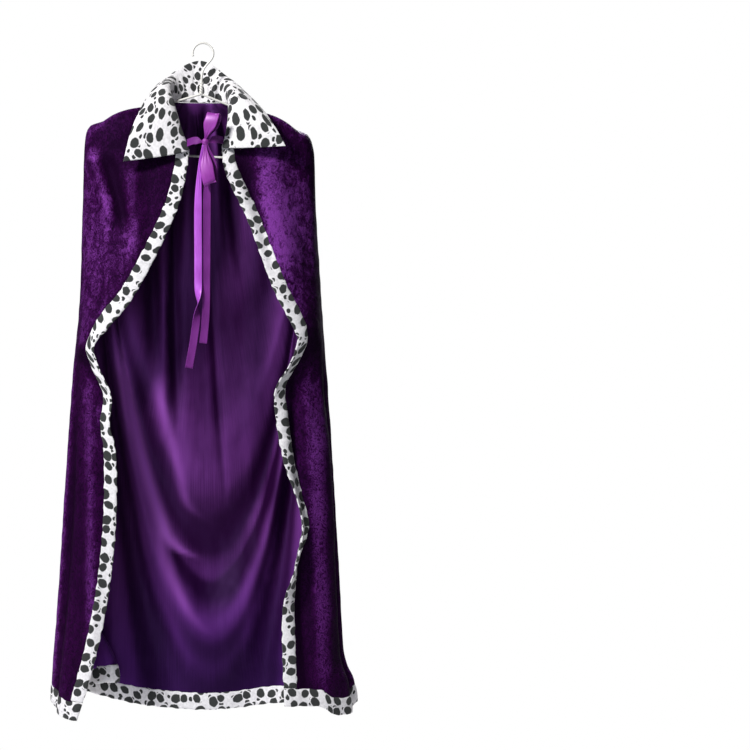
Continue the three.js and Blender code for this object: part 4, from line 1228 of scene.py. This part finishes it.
for node, (line, across, width, start, end) in RIBBONS.items():
    piece, long = ribbon(node + "_satin", line, across, width, start, end)
    # The left tail takes the satin copy with painted light, the others the copy with painted shade
    face = satin if node == "tie_tail_left" else satin_shaded
    dress(piece, "satin", [face.material, satin_back.material], node)
    ribbons[node] = (piece, width * 0.001)
    print(node, "is", round(long), "mm long,", round(surface_area(piece) * 1e4, 1), "cm2")

# %% [markdown]
# ## The knot
# The knot is one turn of ribbon pulled tight, so it is a small barrel with deep creases that run
# round it. A sphere is squeezed to its size and its surface is pleated in code.

# %% The knot
tight = bmesh.new()
bmesh.ops.create_uvsphere(tight, u_segments=64, v_segments=32, radius=1.0)
for vertex in tight.verts:
    x, y, z = vertex.co
    swell = 1 - 0.12 * abs(x) ** 2 + 0.07 * np.cos(9 * z + 2.2 * x) + 0.04 * np.cos(17 * z - 3 * x)
    vertex.co = Vector((x * 7.2 * (1 - 0.1 * z * z), y * 5.4 * swell, z * 6.4 * swell))
bmesh.ops.translate(tight, verts=tight.verts, vec=KNOT + Vector((MIDDLE_X, 0, 0)))
bmesh.ops.scale(tight, verts=tight.verts, vec=(0.001, 0.001, 0.001))
knot = piece_from(tight, "bow_knot_satin")
knot_map = knot.data.uv_layers.new(name="cut")
for loop in knot.data.loops:
    place = knot.data.vertices[loop.vertex_index].co
    knot_map.data[loop.index].uv = (place.z, place.x)
# The knot takes the satin copy with painted shade
dress(knot, "satin", [satin_shaded.material], "bow_knot")

# %% [markdown]
# ## The wire hanger
# A wire hanger is one thin wire bent round a jig, with its two ends twisted under the hook. The
# same is done here: a small circle is extruded step by step along the bent line, and each new
# ring is turned to face the way the wire goes.

# %% Extrude a ring along a line
WIRE_SIDES = 14


def wire_frames(line):
    """A frame for each point of a line that stays near one plane."""
    tangents = unit(np.gradient(line, axis=0))
    frames = []
    for place, tangent in zip(line, tangents):
        aim = Vector(tangent)
        side = Vector((0, 1, 0)) - aim * aim.y
        side.normalize()
        turn = Matrix((side, aim.cross(side), aim)).transposed().to_4x4()
        frames.append(Matrix.Translation(Vector(place)) @ turn)
    return frames


def draw_wire(bm, line, radius, closed=False):
    """Extrudes a ring along a line, and caps its ends unless the line is closed."""
    frames = wire_frames(line)
    made = bmesh.ops.create_circle(bm, segments=WIRE_SIDES, radius=radius, matrix=frames[0])
    ring = made["verts"]
    edges = [e for e in bm.edges if all(v in ring for v in e.verts)]
    if not closed:
        bmesh.ops.contextual_create(bm, geom=edges)
    for before, after in zip(frames, frames[1:]):
        grown = bmesh.ops.extrude_edge_only(bm, edges=edges)["geom"]
        ring = [g for g in grown if isinstance(g, bmesh.types.BMVert)]
        edges = [g for g in grown if isinstance(g, bmesh.types.BMEdge)]
        edges = [e for e in edges if all(v in ring for v in e.verts)]
        bmesh.ops.transform(bm, matrix=after @ before.inverted(), verts=ring)
    if not closed:
        bmesh.ops.contextual_create(bm, geom=edges)


# %% Bend the hanger
def arc(centre_x, centre_z, radius, from_degrees, to_degrees, steps):
    angles = np.radians(np.linspace(from_degrees, to_degrees, steps))
    return [(centre_x + radius * np.cos(a), 0, centre_z + radius * np.sin(a)) for a in angles]


arm_fall = APEX_DROP + ARM_END_X * np.tan(ARM_SLOPE)
bend_fall = arm_fall + END_BEND * np.tan(ARM_SLOPE)


def arm_end(side):
    """The bend at a shoulder: from the arm, round and back along the bar."""
    controls = [(ARM_END_X, arm_fall), (ARM_END_X + END_BEND, bend_fall),
                (ARM_END_X + END_BEND, BAR_DROP), (ARM_END_X, BAR_DROP)]
    line = []
    for t in np.linspace(0, 1, 16):
        weights = ((1 - t) ** 3, 3 * (1 - t) ** 2 * t, 3 * (1 - t) * t**2, t**3)
        x = sum(w * c[0] for w, c in zip(weights, controls))
        drop = sum(w * c[1] for w, c in zip(weights, controls))
        line.append((side * x, 0, -drop))
    return line


def straight(a, b, steps):
    a, b = np.array(a, float), np.array(b, float)
    return [tuple(mix(a, b, t)) for t in np.linspace(0, 1, steps)]


apex = (0, 0, -APEX_DROP)
right, left = arm_end(1), arm_end(-1)[::-1]
loop_line = straight(apex, right[0], 40)[:-1] + right + straight(right[-1], left[0], 60)[1:-1]
loop_line += left + straight(left[-1], apex, 40)[1:]
shank_top = smooth_line(
    arc(0, -17, HOOK_RADIUS, 200, -40, 19) + [(4, 0, -44), (0, 0, -56), (0, 0, -80)], 90
)[0]

# %% Draw the wires
TWIST_OUT, TWIST_RADIUS, TWIST_TURNS = 2.1, 1.7, 2.5
TWIST_TOP, TWIST_END = -70, -93
wire = bmesh.new()
draw_wire(wire, np.array(loop_line), WIRE_RADIUS, closed=True)
draw_wire(wire, shank_top, WIRE_RADIUS)
climb = np.linspace(0, 1, 70)
for start in (0, np.pi):
    angles = TWIST_TURNS * 2 * np.pi * climb + start
    x, y = TWIST_OUT * np.cos(angles), TWIST_OUT * np.sin(angles)
    draw_wire(wire, np.stack([x, y, mix(TWIST_TOP, TWIST_END, climb)], -1), TWIST_RADIUS)
bmesh.ops.remove_doubles(wire, verts=wire.verts, dist=1e-4)
bmesh.ops.recalc_face_normals(wire, faces=wire.faces)
tilt = Matrix.Rotation(HANGER_TILT, 3, "Y")
bmesh.ops.rotate(wire, verts=wire.verts, cent=(0, 0, 0), matrix=tilt)
bmesh.ops.scale(wire, verts=wire.verts, vec=(0.001, 0.001, 0.001))
hanger = piece_from(wire, "hanger_wire")
dress(hanger, "coated_wire", [wire_coat.material], "hanger")
print("Hanger:", len(hanger.data.polygons), "faces")

# %% [markdown]
# ## The ribbons' flat sizes
# Each ribbon prints the flat strip that it was cut from: its width, and its length worked out from
# its area.

for piece, width in ribbons.values():
    long = surface_area(piece) / width
    print(piece.name, "was", round(width * 1000), "by", round(long * 1000), "mm flat")

# %% [markdown]
# ## Studio
# The photo is a cut-out on white, lit softly from the upper left. A round sheet of pale paper
# lies on the floor, and the room is white wherever the camera looks, from behind too. The camera
# stands far off with a long lens, and its shift puts the cape on the left of the picture, where
# the photo has it.

# %% Floor
FLOOR_Z = -1.42
FLOOR_RADIUS = 1.1
paper = Finish("pale_paper", roughness=0.95, specular_ior_level=0.1)
paper_grain = paper.noise(paper.place(), 900, 2)
paper.set(base_color=paper.blend(paper_grain, (0.86, 0.86, 0.87), (0.9, 0.9, 0.9)))
disc = bmesh.new()
down_there = Matrix.Translation((0, 0, FLOOR_Z))
bmesh.ops.create_circle(
    disc, segments=128, radius=FLOOR_RADIUS, cap_ends=True, matrix=down_there
)
floor = piece_from(disc, "floor_paper")
floor.data.materials.append(paper.material)

# %% Lamps and the room's light
AIM = Vector((-0.008, 0, -0.6))


def lamp(name, place, power, size, colour):
    data = bpy.data.lights.new(name, "AREA")
    data.shape = "RECTANGLE"
    data.size, data.size_y = size
    data.energy = power
    data.color = colour
    made = show(name, data)
    made.location = place
    made.rotation_euler = (AIM - Vector(place)).to_track_quat("-Z", "Y").to_euler()


lamp("key_light", (-1.6, -1.8, 1.3), 120, (0.5, 0.5), (1.0, 0.99, 0.97))
lamp("fill_light", (-1.2, -2.6, -1.0), 18, (1.4, 1.4), (0.84, 0.9, 1.0))
lamp("back_light", (1.2, 2.6, 1.2), 100, (1.6, 1.6), (0.97, 0.98, 1.0))
room = bpy.data.worlds.new("soft_room")
room.use_nodes = True
nodes, links = room.node_tree.nodes, room.node_tree.links
seen, soft = nodes["Background"], nodes.new("ShaderNodeBackground")
seen.inputs["Color"].default_value = (1, 1, 1, 1)
seen.inputs["Strength"].default_value = 1.0
soft.inputs["Color"].default_value = (0.95, 0.96, 1.0, 1)
soft.inputs["Strength"].default_value = 0.13
choose = nodes.new("ShaderNodeMixShader")
links.new(nodes.new("ShaderNodeLightPath").outputs["Is Camera Ray"], choose.inputs[0])
links.new(soft.outputs[0], choose.inputs[1])
links.new(seen.outputs[0], choose.inputs[2])
links.new(choose.outputs[0], nodes["World Output"].inputs["Surface"])
bpy.context.scene.world = room
bpy.context.scene.view_settings.view_transform = "Standard"

# %% Camera
PICTURE_WIDTH = 1.38
DISTANCE = 6.5
PICTURE_MIDDLE = (0.3158, -0.609)
camera_data = bpy.data.cameras.new("front_camera")
camera_data.lens = camera_data.sensor_width * DISTANCE / PICTURE_WIDTH
camera_data.shift_x = (PICTURE_MIDDLE[0] - AIM.x) / PICTURE_WIDTH
camera_data.clip_end = 60
camera = show("front_camera", camera_data)
camera.location = (AIM.x, -DISTANCE, PICTURE_MIDDLE[1])
camera.rotation_euler = (np.pi / 2, 0, 0)
bpy.context.scene.camera = camera
